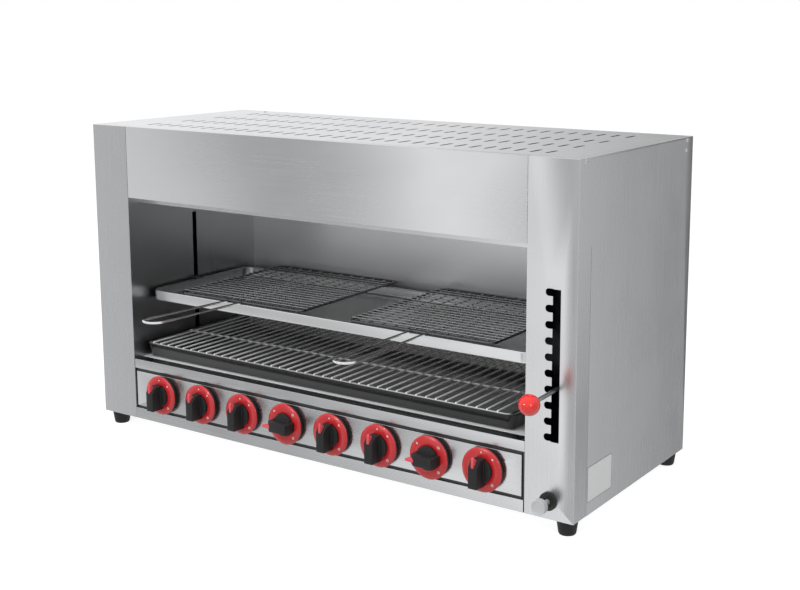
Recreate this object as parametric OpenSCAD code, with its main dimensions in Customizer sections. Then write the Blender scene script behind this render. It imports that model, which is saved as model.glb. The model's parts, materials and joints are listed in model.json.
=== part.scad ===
// Gas cheese melter for a counter. A steel casing, open at the front, holds eight
// burners under its roof. A carriage with a pan and two wire racks is raised and
// lowered by a lever that stands in a ratchet slot on the right. Below it a drip
// tray carries its own rack, and eight knobs sit on the panel.
// Sizes in millimetres. X is the width, Y runs from front to back, Z points up.

/* [Casing] */
// Width over both posts
body_w = 1200; // [1185:1:1230]
// Depth from the front face to the back panel
body_d = 485; // [482:1:505]
// Height of the casing above its feet
body_h = 652; // [645:1:690]
// Thickness of the outer sheets
sheet_t = 1.2; // [1:0.1:1.5]
// Thickness of the liner sheets inside
liner_t = 1; // [0.8:0.1:1.2]
// Width of each front post
post_w = 101; // [100:0.5:108]
// Depth that a post wraps round the side
post_return = 47; // [44:1:52]
// Width of the folded edges
flange_w = 15; // [12:1:18]
// Gap between neighbouring sheets
seam = 0.5; // [0.4:0.1:0.8]

/* [Opening] */
// Height of the lower edge of the front fascia
fascia_z = 497; // [494:1:502]
// Height of the lower lip of the burner box
box_z = 482; // [480:1:488]
// Height of the upper edge of the burner box
box_top = 600; // [590:1:620]
// Distance of the burner box behind the front face
box_front = 38; // [36:1:40]
// Distance from the front face to the back wall of the opening
cavity_d = 402; // [400:1:406]
// Height of the floor of the opening
floor_z = 136; // [135:0.5:140]
// Distance from the front face to the front edge of the floor
floor_front = 27; // [26.5:0.5:28]

/* [Front panel] */
// Height of the upper edge of the bottom rail
rail_top = 24; // [22:1:26]
// Height of the lower edge of the control panel
panel_z0 = 30; // [29:0.5:32]
// Height of the upper edge of the control panel
panel_z1 = 109; // [107:0.5:110]
// Height of the lower edge of the top rail
top_rail_z = 115.5; // [112.5:0.5:116]
// Depth of the flat top of the top rail
top_rail_d = 25.6; // [24:0.2:25.8]
// Distance from the front face to the dark sheet behind the panel
backing_y = 8; // [7:0.5:12]
// Distance from the front face to the dark strips above and below the panel
dark_strip_y = 2.5; // [1.5:0.5:4]
// Width of the dark gap at each end of the panel
end_gap = 2.6; // [2:0.2:3]

/* [Knobs] */
// Width left free at each end of the row of burners
burner_margin = 27; // [27:0.5:40]
// Offset of the row of knobs from the middle
knob_shift = 1.5; // [0:0.5:2]
// Height of the knob axes
knob_z = 68; // [68:0.5:72]
// Radius of the coloured ring
ring_r = 43; // [41:0.5:44]
// Thickness of the coloured ring
ring_t = 3; // [2:0.2:4]
// Radius of the black hub
hub_r = 23; // [21:0.5:24]
// Height of the hub in front of the ring
hub_rise = 7; // [6:0.5:8]
// Length of the grip below the knob axis
grip_tail = 28; // [25:0.5:32]
// Length of the grip above the knob axis
grip_nose = 25; // [22:0.5:30]
// Width of the grip
grip_w = 19; // [17:0.5:21]
// Height of the grip in front of the hub
grip_rise = 24; // [20:0.5:26]
// Depth of the knob body behind the ring
skirt_t = 8.5; // [7:0.5:10]
// Gap between a knob and the panel
knob_gap = 0.5; // [0.4:0.1:1]
// Radius of a knob spindle
spindle_r = 4; // [3:0.5:5]

/* [Lever and lift] */
// Distance between two notches of the ratchet
notch_pitch = 29.25; // [27:0.25:29.25]
// Number of notches above the present one
notches_above = 6; // [4:1:6]
// Number of notches below the present one
notches_below = 3; // [1:1:3]
// Radius of a notch
notch_r = 6.75; // [6:0.25:7.5]
// Width of the channel beside the notches
channel_w = 16; // [15:0.5:18]
// Height of the lever where it passes the front face
lever_z = 240.75; // [239:0.25:242]
// Radius of the lever rod
lever_r = 4; // [3.5:0.25:4.5]
// Radius of the ball on the lever
ball_r = 19; // [16:0.5:21]
// Distance of the ball in front of the face
ball_reach = 88; // [75:1:100]
// Radius of a guide rod
guide_r = 6; // [5:0.5:7]
// Radial running clearance between moving fits
run_fit = 0.05; // [0.03:0.01:0.08]

/* [Pan and racks] */
// Height of the underside of the pan
pan_z = 264; // [263.8:0.1:266]
// Height of the pan
pan_h = 23; // [20:0.5:24]
// Corner radius of the pan
pan_corner = 25; // [15:1:32]
// Distance from the front face to the pan
pan_front = 44; // [42:0.5:46]
// Width of the flange round the top of the pan
pan_flange = 11; // [10:0.5:14]
// Width of one upper rack
rack_w = 340; // [300:1:345]
// Distance from the front face to an upper rack
rack_front = 50; // [48:0.5:51]
// Offset of the left rack from the middle
left_rack_x = -229; // [-235:1:-200]
// Offset of the right rack from the middle
right_rack_x = 232; // [200:1:235]
// How far the left rack is turned
left_rack_turn = 1.3; // [0:0.1:1.3]
// How far the right rack is turned
right_rack_turn = 0.7; // [0:0.1:1]
// Distance that the right rack sits further back
right_rack_back = 1; // [0:0.2:1]
// Radius of the frame wires
frame_r = 2.5; // [2:0.1:2.6]
// Radius of the fine wires
fine_r = 1.25; // [1:0.05:1.4]
// Radius of the wires that cross the fine ones
cross_r = 1.5; // [1.2:0.1:1.6]
// Distance between fine wires
fine_pitch = 17.8; // [14:0.1:22]
// Distance between crossing wires
cross_pitch = 30.3; // [26:0.1:34]
// Radius of the handle wire
handle_r = 2.3; // [2:0.05:2.3]
// Distance between the two legs of a handle under its rack
handle_gap = 36; // [34:1:38]
// How far each leg of a handle spreads towards its end
handle_spread = 1.4; // [0:0.1:2]
// Distance that a handle reaches in front of its rack
handle_reach = 246; // [200:1:260]
// How far the left handle is bent upward
left_handle_rise = 1; // [-1:0.1:1.5]
// How far the right handle is bent upward
right_handle_rise = -0.8; // [-1:0.1:1.5]
// How far the left handle is bent sideways
left_handle_side = -2.5; // [-3:0.1:3]
// How far the right handle is bent sideways
right_handle_side = -1; // [-3:0.1:3]
// Offset of the left handle from the middle of its rack
left_handle_x = -11.5; // [-20:0.5:20]
// Offset of the right handle from the middle of its rack
right_handle_x = 0.5; // [-20:0.5:20]
// Gap between resting parts
rest_gap = 0.3; // [0.2:0.05:0.4]

/* [Drip tray] */
// Height of the drip tray
tray_h = 32; // [28:0.5:32]
// Thickness of the tray wall
tray_t = 1.2; // [1:0.1:1.6]
// Slope of the tray wall, measured as the inset of its floor
tray_inset = 8; // [4:0.5:12]
// Floor left free on the right of the tray
tray_free = 39; // [30:1:60]
// Distance between the wires of the lower rack
low_pitch = 22.8; // [18:0.2:30]
// Radius of the wires of the lower rack
low_r = 1.6; // [1.3:0.1:1.7]
// Radius of the lower rack's frame
low_frame_r = 2.2; // [2:0.05:2.25]

/* [Burners and gas] */
// Height of a burner body
burner_h = 40; // [36:1:44]
// Length of one ceramic tile
tile_l = 132; // [120:1:136]
// Wall of a burner beside its ceramic tiles
tile_wall = 7; // [7:0.5:10]
// Thickness of a ceramic tile
tile_t = 13; // [11:0.5:14]
// Radius of the burner mixing tube
venturi_r = 12; // [10:0.5:12]
// Radius of the gas supply tubes
tube_r = 5; // [4:0.5:6]
// Radius of the gas manifold
manifold_r = 11; // [10.6:0.2:12]
// Height of the gas manifold
manifold_z = 44; // [42:0.5:45]
// Radius of the threaded gas inlet
inlet_r = 10.48; // [8:0.01:10.5]
// Length of the gas inlet behind the back panel
inlet_l = 25; // [18:1:35]

/* [Igniter] */
// Height of the igniter button
igniter_z = 34; // [32:1:36]
// Radius of the igniter collar
collar_r = 17; // [15:0.5:18]
// Height of the collar in front of the face
collar_t = 6; // [4:0.5:8]
// Radius of the button cap
cap_r = 14; // [12:0.5:15]
// Thickness of the button cap
cap_t = 12; // [9:0.5:14]
// Distance of the button face in front of the face
button_reach = 39; // [36:0.5:42]

/* [Screws and feet] */
// Height of a foot
foot_h = 30; // [20:1:40]
// Radius of a foot where it meets the casing
foot_r = 20.5; // [18:0.5:22]
// Radius of a foot where it stands
foot_tip_r = 16; // [14:0.5:18]
// Distance of a foot axis from both edges
foot_inset = 25.5; // [25:0.5:28]
// Radius of a foot bolt
bolt_r = 5; // [4:0.5:6]
// Radius of a casing screw head
head_r = 3.75; // [3:0.25:4]
// Radius of a casing screw shank
shank_r = 1.8; // [1.5:0.1:2]
// Radial clearance of screws and bolts
screw_fit = 0.4; // [0.3:0.05:0.6]

/* [Hidden] */
$fn = 48;

// the part stands on its feet with the origin under the middle of its extent
front_reach = handle_reach - rack_front;
mid_y = (body_d + inlet_l - front_reach) / 2;

// outer casing
half_w = body_w / 2;
open_hw = half_w - post_w;
roof_hw = half_w - flange_w - seam;
post_side_z = fascia_z - 2;
roof_fold = 12;
base_fold = 18;
base_front_fold = 20;
floor_fold = 22;
wall_drop = 20;
wire_fn = 8;

// control panel and the strips at its ends
strip_w = 3;
rail_hw = open_hw - seam;
panel_hw = rail_hw - strip_w - end_gap;
rail_end = 1;
bottom_rail_end = 1.8;
backing_lap = 6;
strip_fit = 0.6;
stem_hole_r = spindle_r + 2;

// knobs, valves and the gas line behind them
burner_count = 8;
knob_pitch = (2 * open_hw - 2 * burner_margin) / burner_count;
ring_face = skirt_t + ring_t + knob_gap;
spindle_end = 54;
nose_slope = 11;
valve_y0 = 46;
valve_y1 = 76;
manifold_y = 60;
nipple_r = 4;
return_inset = 17;
return_x = open_hw - return_inset;
return_end = body_d - 15;
tube_start = 70;
lock_nut_t = 4;
tube_back = cavity_d + 48;
jet_y = cavity_d + 30;

// burners
burner_gap = 12;
burner_w = knob_pitch - burner_gap;
tile_w = burner_w - 2 * tile_wall;
burner_y0 = box_front + 7;
burner_y1 = cavity_d - 5;
burner_z = box_z + 18;
venturi_z = burner_z + 26;
ledge_w = 16;
tile_fit = 0.2;
tile_pocket = tile_t + 1;
tile_gap = (burner_y1 - burner_y0 - 2 * tile_l) / 3;

// lift: guide rods, blocks, arms and the slots they pass through
guide_x = open_hw + 31;
guide_y = 200;
bush_r = guide_r + 3;
block_x0 = open_hw + 9;
block_x1 = open_hw + 53;
block_z0 = 232;
block_z1 = 292;
block_hd = 18;
bracket_t = 8;
bracket_hd = 16;
arm_hw = 5;
arm_top = pan_z + 0.2;
arm_bottom = pan_z - 7.6;
lift_up = notches_above * notch_pitch;
lift_down = notches_below * notch_pitch;
wall_slot_hw = 6.5;
slot_margin = 0.65;
wall_slot_z0 = arm_bottom - lift_down - slot_margin;
wall_slot_z1 = arm_top + lift_up + slot_margin;
rod_z0 = 90;
rod_z1 = 506;

// lever: it swings about an upright pin on the right block
pivot_x = open_hw + 63;
pivot_y = guide_y;
pivot_z = lever_z + 7.85;
pin_r = 4;
eye_r = 8;
eye_h = 10;
clevis_gap = 0.4;
clevis_t = 6;
lever_lean = 1;
lever_drop = atan((pivot_z - lever_z) / pivot_y);
lever_l = (pivot_y + ball_reach) / cos(lever_drop) / cos(lever_lean);
channel_x0 = open_hw + 52.5;
notch_x = channel_x0 - 7.8;
slot_ends = 6;

// pan and the carriage angles that hold it
pan_hw = open_hw - 12.5;
pan_back = cavity_d - 39;
pan_top = pan_z + pan_h;
angle_t = 2;
angle_leg = 20;
angle_y0 = 60;
angle_y1 = pan_back + 24;
rear_bar_rise = 0.6;
rear_bar_h = 12;
hook_t = 2.5;

// upper racks lie on the flange of the pan
rack_d = cavity_d - 5 - rack_front;
rack_corner = 14;
rack_z = pan_top + rest_gap + frame_r;
weld = 0.4;
fine_z = frame_r + fine_r - weld;
cross_z = fine_z - fine_r - cross_r + weld;
leg_z = handle_r - frame_r;
fine_count = floor((rack_d - 2 * fine_pitch) / fine_pitch) + 1;
handle_leg = 240;
fold_y = pan_front - rack_front - 4;

// drip tray and the rack on it
tray_x0 = -open_hw + 3;
tray_x1 = open_hw - tray_free;
tray_y0 = 29;
tray_y1 = cavity_d - 28;
tray_z0 = floor_z + 0.2;
tray_top = floor_z + tray_h;
tray_corner = 20;
low_x0 = tray_x0 + 12.7;
low_x1 = tray_x1 - 8;
low_y0 = tray_y0 - 1;
low_y1 = tray_y1 - 2;
low_z = tray_top + 0.2 + low_frame_r;
weld_gap = 0.02;
low_wire_z = low_z + low_frame_r + low_r + weld_gap;
low_corner = 12;
low_first = 21.1;
low_cross_r = 2;
low_cross_y = low_y0 + 0.384 * (low_y1 - low_y0);
low_count = floor((low_x1 - low_x0 - low_first - 18) / low_pitch) + 1;

// igniter
igniter_x = open_hw + 50;
button_stem_r = 5;
collar_neck_r = 8;

// roof slots
roof_slot_l = 42;
roof_slot_w = 7;
roof_slot_pitch = 32;
roof_slots = 32;
roof_shift = 7;
roof_rows = [77, 181, 285, 400];

// casing screws: on the roof as [x, y], on the sides as [y, z], on the back as [x, z]
top_screws = [[92 - half_w, body_d - 20], [half_w - 112, body_d - 15]];
side_screws = [[22, body_h - 6], [body_d - 28, body_h - 6], [body_d - 32, body_h - 26]];
back_screw_x = half_w - 40;
back_low_z = 25;
back_high_z = body_h - 37;
back_screws = [[-back_screw_x, back_low_z], [0, back_low_z], [back_screw_x, back_low_z],
  [-back_screw_x, body_h / 2], [back_screw_x, body_h / 2],
  [-back_screw_x, back_high_z], [0, back_high_z], [back_screw_x, back_high_z]];
nut_t = 3;
head_t = 2.2;
foot_socket = 15;
foot_bolt_l = 28;
foot_nut_t = 8;
back_flange = 32;

steel = [0.76, 0.77, 0.78];
dark = [0.13, 0.13, 0.14];
wire = [0.72, 0.72, 0.73];
black = [0.06, 0.06, 0.06];
red = [0.72, 0.07, 0.08];
brass = [0.78, 0.62, 0.3];
clay = [0.86, 0.78, 0.66];
enamel = [0.2, 0.2, 0.21];

// ---------- helpers ----------
module stand() {
  translate([0, -mid_y, foot_h]) children();
}

module block(x0, x1, y0, y1, z0, z1) {
  translate([x0, y0, z0]) cube([x1 - x0, y1 - y0, z1 - z0]);
}

module rod_x(x0, x1, y, z, r) {
  translate([x0, y, z]) rotate([0, 90, 0]) cylinder(h = x1 - x0, r = r);
}

module rod_y(x, y0, y1, z, r) {
  translate([x, y0, z]) rotate([-90, 0, 0]) cylinder(h = y1 - y0, r = r);
}

module rod_z(x, y, z0, z1, r) {
  translate([x, y, z0]) cylinder(h = z1 - z0, r = r);
}

module wire_x(x0, x1, y, z, r) {
  translate([x0, y, z]) rotate([0, 90, 0]) cylinder(h = x1 - x0, r = r, $fn = wire_fn);
}

module wire_y(x, y0, y1, z, r) {
  translate([x, y0, z]) rotate([-90, 0, 0]) cylinder(h = y1 - y0, r = r, $fn = wire_fn);
}

module wire_bend(x, y, z, bend, r, start, sweep) {
  translate([x, y, z]) rotate([0, 0, start]) rotate_extrude(angle = sweep)
    translate([bend, 0]) circle(r = r, $fn = wire_fn);
}

// closed wire frame with round corners, lying flat at height z; with a gap, its
// straight wires and its bends are separate solids
module wire_frame(x0, x1, y0, y1, z, corner, r, gap = 0) {
  end = corner + gap;
  wire_x(x0 + end, x1 - end, y0, z, r);
  wire_x(x0 + end, x1 - end, y1, z, r);
  wire_y(x0, y0 + end, y1 - end, z, r);
  wire_y(x1, y0 + end, y1 - end, z, r);
  wire_bend(x0 + corner, y0 + corner, z, corner, r, 180, 90);
  wire_bend(x1 - corner, y0 + corner, z, corner, r, 270, 90);
  wire_bend(x1 - corner, y1 - corner, z, corner, r, 0, 90);
  wire_bend(x0 + corner, y1 - corner, z, corner, r, 90, 90);
}

// flat shape with round corners
module round_plate(x0, x1, y0, y1, corner) {
  translate([x0 + corner, y0]) square([x1 - x0 - 2 * corner, y1 - y0]);
  translate([x0, y0 + corner]) square([x1 - x0, y1 - y0 - 2 * corner]);
  for (x = [x0 + corner, x1 - corner], y = [y0 + corner, y1 - corner])
    translate([x, y]) circle(r = corner);
}

// slot with round ends, long along the second axis
module round_slot(w, l) {
  translate([-w / 2, -(l - w) / 2]) square([w, l - w]);
  translate([0, (l - w) / 2]) circle(r = w / 2);
  translate([0, -(l - w) / 2]) circle(r = w / 2);
}

// sheet standing in the XZ plane, drawn as a flat shape
module front_sheet(y0, t) {
  translate([0, y0 + t, 0]) rotate([90, 0, 0]) linear_extrude(t) children();
}

// sheet standing in the YZ plane, drawn as a flat shape
module side_sheet(x0, t) {
  translate([x0, 0, 0]) rotate([90, 0, 90]) linear_extrude(t) children();
}

function knob_x(k) = (k - (burner_count + 1) / 2) * knob_pitch + knob_shift;

// ---------- casing ----------
module post_shape() {
  block(open_hw, half_w, 0, sheet_t, 0, body_h);
  block(half_w - sheet_t, half_w, 0, post_return, 0, post_side_z);
  block(open_hw, half_w, 0, flange_w, body_h - sheet_t, body_h);
  post_lap();
}

// strip set inward that backs the seam between post and side panel
module post_lap() {
  lap_x = half_w - 2 * sheet_t - 0.05;
  lap_y = post_return - 3;
  block(lap_x, lap_x + sheet_t, lap_y, lap_y + flange_w, sheet_t + seam, post_side_z);
  block(lap_x, half_w, lap_y, lap_y + sheet_t, sheet_t + seam, post_side_z);
}

module side_screw_hole(place) {
  rod_x(half_w - 3 * sheet_t, half_w + 1, place[0], place[1], shank_r + screw_fit);
}

module left_post() {
  color(steel) stand() mirror([1, 0, 0]) post_shape();
}

module ratchet_slot() {
  slot_z0 = lever_z - lift_down - notch_r - slot_ends * 0.2;
  slot_z1 = lever_z + lift_up + slot_ends;
  translate([channel_x0, slot_z0]) square([channel_w, slot_z1 - slot_z0]);
  for (n = [-notches_below : notches_above]) {
    z = lever_z + n * notch_pitch;
    translate([notch_x, z]) circle(r = notch_r);
    translate([notch_x, z - notch_r]) square([channel_x0 - notch_x + 1, 2 * notch_r]);
  }
}

module right_post() {
  color(steel) stand() difference() {
    post_shape();
    front_sheet(-1, sheet_t + 2) ratchet_slot();
    rod_y(igniter_x, -1, sheet_t + 1, igniter_z, collar_neck_r + screw_fit);
  }
}

// the upper part of a side panel reaches forward to the face of the post
module side_panel_shape() {
  difference() {
    union() {
      block(half_w - sheet_t, half_w, post_return + seam, body_d, 0, body_h);
      block(half_w - sheet_t, half_w, sheet_t, body_d, post_side_z, body_h - sheet_t);
      block(half_w - flange_w, half_w, flange_w, body_d, body_h - sheet_t, body_h);
      block(half_w - flange_w, half_w, body_d - sheet_t, body_d, 0, body_h);
    }
    for (s = side_screws) side_screw_hole(s);
  }
}

module left_side_panel() {
  color(steel) stand() mirror([1, 0, 0]) side_panel_shape();
}

module right_side_panel() {
  color(steel) stand() side_panel_shape();
}

module top_panel() {
  color(steel) stand() {
    translate([0, 0, body_h - sheet_t]) linear_extrude(sheet_t) difference() {
      translate([-roof_hw, flange_w + seam]) square([2 * roof_hw, body_d - flange_w - seam]);
      for (row = roof_rows, n = [0 : roof_slots - 1])
        translate([(n - (roof_slots - 1) / 2) * roof_slot_pitch + roof_shift, row])
          round_slot(roof_slot_w, roof_slot_l);
      for (s = top_screws) translate(s) circle(r = shank_r + screw_fit);
    }
    for (x = [-roof_hw, roof_hw - sheet_t])
      block(x, x + sheet_t, flange_w + seam, body_d - sheet_t, body_h - roof_fold, body_h - sheet_t);
  }
}

module back_panel() {
  color(steel) stand() {
    front_sheet(body_d - sheet_t, sheet_t) difference() {
      translate([-roof_hw, 0]) square([2 * roof_hw, body_h - sheet_t]);
      for (s = back_screws) translate(s) circle(r = shank_r + screw_fit);
      translate([return_x, manifold_z]) circle(r = inlet_r + screw_fit);
    }
    difference() {
      block(-roof_hw + 2, roof_hw - 2, body_d - back_flange, body_d - sheet_t,
        body_h - 2 * sheet_t, body_h - sheet_t);
      for (s = top_screws) rod_z(s[0], s[1], body_h - 3 * sheet_t, body_h, shank_r + screw_fit);
    }
  }
}

module base_plate() {
  inner = half_w - sheet_t;
  color(steel) stand() {
    difference() {
      block(-inner, inner, sheet_t, body_d - sheet_t, 0, sheet_t);
      for (x = [-1, 1], y = [foot_inset, body_d - foot_inset])
        rod_z(x * (half_w - foot_inset), y, -1, sheet_t + 1, bolt_r + screw_fit);
    }
    for (x = [-inner, inner - sheet_t])
      block(x, x + sheet_t, post_return + flange_w, body_d - sheet_t, sheet_t, base_fold);
    block(-panel_hw, panel_hw, sheet_t, 2 * sheet_t, sheet_t, base_front_fold);
  }
}

module front_fascia() {
  end = open_hw - seam;
  color(steel) stand() {
    block(-end, end, 0, sheet_t, fascia_z, body_h);
    block(-end, end, 0, flange_w, body_h - sheet_t, body_h);
    block(-end, end, 0, box_front - 0.2, fascia_z, fascia_z + sheet_t);
    for (x = [-end, end - sheet_t]) block(x, x + sheet_t, 0, flange_w, fascia_z, body_h);
  }
}

// open ring under the roof, with two ledges that carry the burners
module burner_box() {
  hw = open_hw - 0.2;
  color(steel) stand() difference() {
    union() {
      block(-hw, hw, box_front, box_front + liner_t, box_z, box_top);
      block(-hw, hw, cavity_d, cavity_d + liner_t, box_z, box_top);
      for (x = [-hw, hw - liner_t]) block(x, x + liner_t, box_front, cavity_d + liner_t, box_z, box_top);
      block(-hw, hw, box_front, box_front + 8, box_z, box_z + liner_t);
      block(-hw, hw, box_front, box_front + ledge_w, burner_z - liner_t, burner_z);
      block(-hw, hw, cavity_d - ledge_w, cavity_d + liner_t, burner_z - liner_t, burner_z);
    }
    for (k = [1 : burner_count])
      rod_y(knob_x(k), cavity_d - 1, cavity_d + liner_t + 1, venturi_z, venturi_r + screw_fit);
  }
}

module inner_wall_shape() {
  side_sheet(open_hw, liner_t) difference() {
    translate([sheet_t, sheet_t]) square([cavity_d + liner_t - sheet_t, body_h - 2 * sheet_t]);
    translate([guide_y - wall_slot_hw, wall_slot_z0])
      square([2 * wall_slot_hw, wall_slot_z1 - wall_slot_z0]);
  }
}

module inner_walls() {
  color(steel) stand() {
    mirror([1, 0, 0]) inner_wall_shape();
    inner_wall_shape();
  }
}

module cavity_back_wall() {
  color(steel) stand() block(-open_hw, open_hw, cavity_d, cavity_d + liner_t, floor_z - wall_drop, box_z);
}

module cavity_floor() {
  color(steel) stand() {
    block(-open_hw, open_hw, floor_front, cavity_d, floor_z - liner_t, floor_z);
    block(-open_hw, open_hw, floor_front, floor_front + liner_t, floor_z - floor_fold, floor_z);
    block(-open_hw, open_hw, cavity_d - liner_t, cavity_d, floor_z - wall_drop, floor_z);
  }
}

module top_rail() {
  color(steel) stand() {
    block(-rail_hw + rail_end, rail_hw, 0, sheet_t, top_rail_z, floor_z);
    block(-rail_hw + rail_end, rail_hw, 0, top_rail_d, floor_z - sheet_t, floor_z);
    block(-rail_hw + rail_end, rail_hw, 0, backing_y, top_rail_z, top_rail_z + sheet_t);
    block(-rail_hw + rail_end, rail_hw, top_rail_d - sheet_t, top_rail_d, floor_z - 14, floor_z);
  }
}

module control_panel() {
  color(steel) stand() difference() {
    block(-panel_hw, panel_hw, 0, backing_y, panel_z0, panel_z1);
    block(-panel_hw + sheet_t, panel_hw - sheet_t, sheet_t, backing_y + 1,
      panel_z0 + sheet_t, panel_z1 - sheet_t);
    for (k = [1 : burner_count]) rod_y(knob_x(k), -1, backing_y, knob_z, stem_hole_r);
  }
}

// dark sheet behind the panel, with strips that fill the gaps all round the panel
module panel_backing() {
  color(dark) stand() {
    block(-panel_hw, panel_hw, dark_strip_y, backing_y, rail_top + strip_fit, panel_z0 - strip_fit);
    block(-panel_hw, panel_hw, dark_strip_y, backing_y, panel_z1 + strip_fit, top_rail_z - strip_fit);
    difference() {
      block(-rail_hw, rail_hw, backing_y, backing_y + sheet_t, rail_top - backing_lap, top_rail_z + 4);
      for (k = [1 : burner_count])
        rod_y(knob_x(k), backing_y - 1, backing_y + sheet_t + 1, knob_z, stem_hole_r);
    }
    for (side = [-1, 1]) {
      outer = side * rail_hw;
      inner = side * (rail_hw - strip_w);
      leg = side * (rail_hw - sheet_t);
      block(min(outer, inner), max(outer, inner), 0, sheet_t, rail_top + 1, top_rail_z - 0.5);
      block(min(outer, leg), max(outer, leg), 0, backing_y, rail_top + 1, top_rail_z - 0.5);
    }
  }
}

module bottom_rail() {
  color(steel) stand() {
    block(-rail_hw, rail_hw - bottom_rail_end, 0, sheet_t, 0, rail_top);
    block(-rail_hw, rail_hw - bottom_rail_end, 0, backing_y, rail_top - sheet_t, rail_top);
  }
}

// ---------- burners and gas line ----------
module burner_body(k) {
  x = knob_x(k);
  difference() {
    union() {
      block(x - burner_w / 2, x + burner_w / 2, burner_y0, burner_y1, burner_z, burner_z + burner_h);
      rod_y(x, burner_y1 - 5, cavity_d + 28, venturi_z, venturi_r);
    }
    for (n = [0, 1]) {
      y = burner_y0 + tile_gap + n * (tile_l + tile_gap);
      block(x - tile_w / 2 - tile_fit, x + tile_w / 2 + tile_fit, y - tile_fit, y + tile_l + tile_fit,
        burner_z - 1, burner_z + tile_pocket);
    }
    block(x - tile_w / 2 + 4, x + tile_w / 2 - 4, burner_y0 + 14, burner_y1 - 14,
      burner_z + tile_pocket - 0.5, burner_z + burner_h - 2);
    rod_y(x, burner_y1 - 20, cavity_d + 29, venturi_z, venturi_r - 1.5);
  }
}

module burner_bodies() {
  color(dark) stand() for (k = [1 : burner_count]) burner_body(k);
}

module burner_tiles() {
  color(clay) stand() for (k = [1 : burner_count], n = [0, 1]) {
    y = burner_y0 + tile_gap + n * (tile_l + tile_gap);
    block(knob_x(k) - tile_w / 2, knob_x(k) + tile_w / 2, y, y + tile_l,
      burner_z + tile_pocket - tile_t, burner_z + tile_pocket);
  }
}

// tube from a valve under the floor, up behind the back wall and into the burner
module gas_tube(x) {
  low_bend = 30;
  high_bend = 14;
  turn_y = tube_back - low_bend;
  rod_y(x, tube_start, turn_y, knob_z, tube_r);
  translate([x, turn_y, knob_z + low_bend]) rotate([90, 0, 90]) rotate([0, 0, 270])
    rotate_extrude(angle = 90) translate([low_bend, 0]) circle(r = tube_r);
  rod_z(x, tube_back, knob_z + low_bend, venturi_z - high_bend, tube_r);
  translate([x, tube_back - high_bend, venturi_z - high_bend]) rotate([90, 0, 90])
    rotate_extrude(angle = 90) translate([high_bend, 0]) circle(r = tube_r);
  rod_y(x, jet_y, tube_back - high_bend, venturi_z, tube_r);
}

module gas_tubes() {
  color(brass) stand() for (k = [1 : burner_count]) gas_tube(knob_x(k));
}

module gas_valve(x) {
  difference() {
    union() {
      block(x - 12, x + 12, valve_y0, valve_y1, manifold_z, knob_z + 15);
      rod_y(x, valve_y0 - 8, valve_y0 + 1, knob_z, 9);
    }
    rod_y(x, valve_y0 - 9, spindle_end + 4, knob_z, spindle_r + run_fit);
    rod_y(x, tube_start - 2, valve_y1 + 1, knob_z, tube_r + run_fit);
    rod_x(x - 13, x + 13, manifold_y, manifold_z, manifold_r + 0.1);
    rod_z(x, manifold_y, manifold_z, manifold_z + manifold_r + 8, nipple_r + run_fit);
  }
}

module gas_valves() {
  color(brass) stand() for (k = [1 : burner_count]) gas_valve(knob_x(k));
}

module gas_manifold() {
  x0 = knob_x(1) - 22;
  bore = manifold_r - 2;
  color(steel) stand() difference() {
    union() {
      rod_x(x0, return_x, manifold_y, manifold_z, manifold_r);
      rod_y(return_x, manifold_y, return_end, manifold_z, manifold_r);
      translate([return_x, manifold_y, manifold_z]) sphere(r = manifold_r + 1.5);
      for (k = [1 : burner_count])
        rod_z(knob_x(k), manifold_y, manifold_z + bore, manifold_z + manifold_r + 6, nipple_r);
    }
    rod_x(x0 + 3, return_x, manifold_y, manifold_z, bore);
    rod_y(return_x, manifold_y, return_end + 1, manifold_z, bore);
  }
}

// socket on the end of the manifold, pipe that leaves the casing and its lock nut
module gas_inlet() {
  color(brass) stand() difference() {
    union() {
      rod_y(return_x, return_end - 12, body_d - sheet_t - 1, manifold_z, manifold_r + 3);
      rod_y(return_x, body_d - 4, body_d + inlet_l, manifold_z, inlet_r);
      rod_y(return_x, body_d, body_d + lock_nut_t, manifold_z, manifold_r + 3);
    }
    rod_y(return_x, return_end - 13, return_end + 0.1, manifold_z, manifold_r + run_fit);
    rod_y(return_x, return_end - 1, body_d + inlet_l + 1, manifold_z, 7.5);
  }
}

// ---------- igniter ----------
module igniter_collar() {
  color(black) stand() difference() {
    union() {
      rod_y(igniter_x, -collar_t, 0, igniter_z, collar_r);
      rod_y(igniter_x, -1, sheet_t, igniter_z, collar_neck_r);
    }
    rod_y(igniter_x, -collar_t - 1, sheet_t + 1, igniter_z, button_stem_r + run_fit);
    rod_y(igniter_x, -collar_t - 1, -collar_t + 1.5, igniter_z, cap_r);
  }
}

module igniter_body() {
  color(black) stand() difference() {
    rod_y(igniter_x, sheet_t, 70, igniter_z, 12);
    rod_y(igniter_x, 0, 34, igniter_z, button_stem_r + run_fit);
  }
}

module igniter_button() {
  cap_y = -button_reach;
  color(steel) stand() union() {
    rod_y(igniter_x, cap_y + 1.5, cap_y + cap_t, igniter_z, cap_r);
    translate([igniter_x, cap_y, igniter_z]) rotate([-90, 0, 0])
      cylinder(h = 1.5, r1 = cap_r - 1.5, r2 = cap_r);
    rod_y(igniter_x, cap_y + 1, 20, igniter_z, button_stem_r);
  }
}

module spark_electrode() {
  y = box_front + 82;
  z = burner_z - 6;
  color(clay) stand() {
    rod_x(open_hw - 21, open_hw - 0.2 - liner_t, y, z, 3.5);
    rod_x(open_hw - 49, open_hw - 20, y, z, 1);
  }
}

// ---------- lift ----------
module guide_rods() {
  color(wire) stand() for (side = [-1, 1]) rod_z(side * guide_x, guide_y, rod_z0, rod_z1, guide_r);
}

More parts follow.
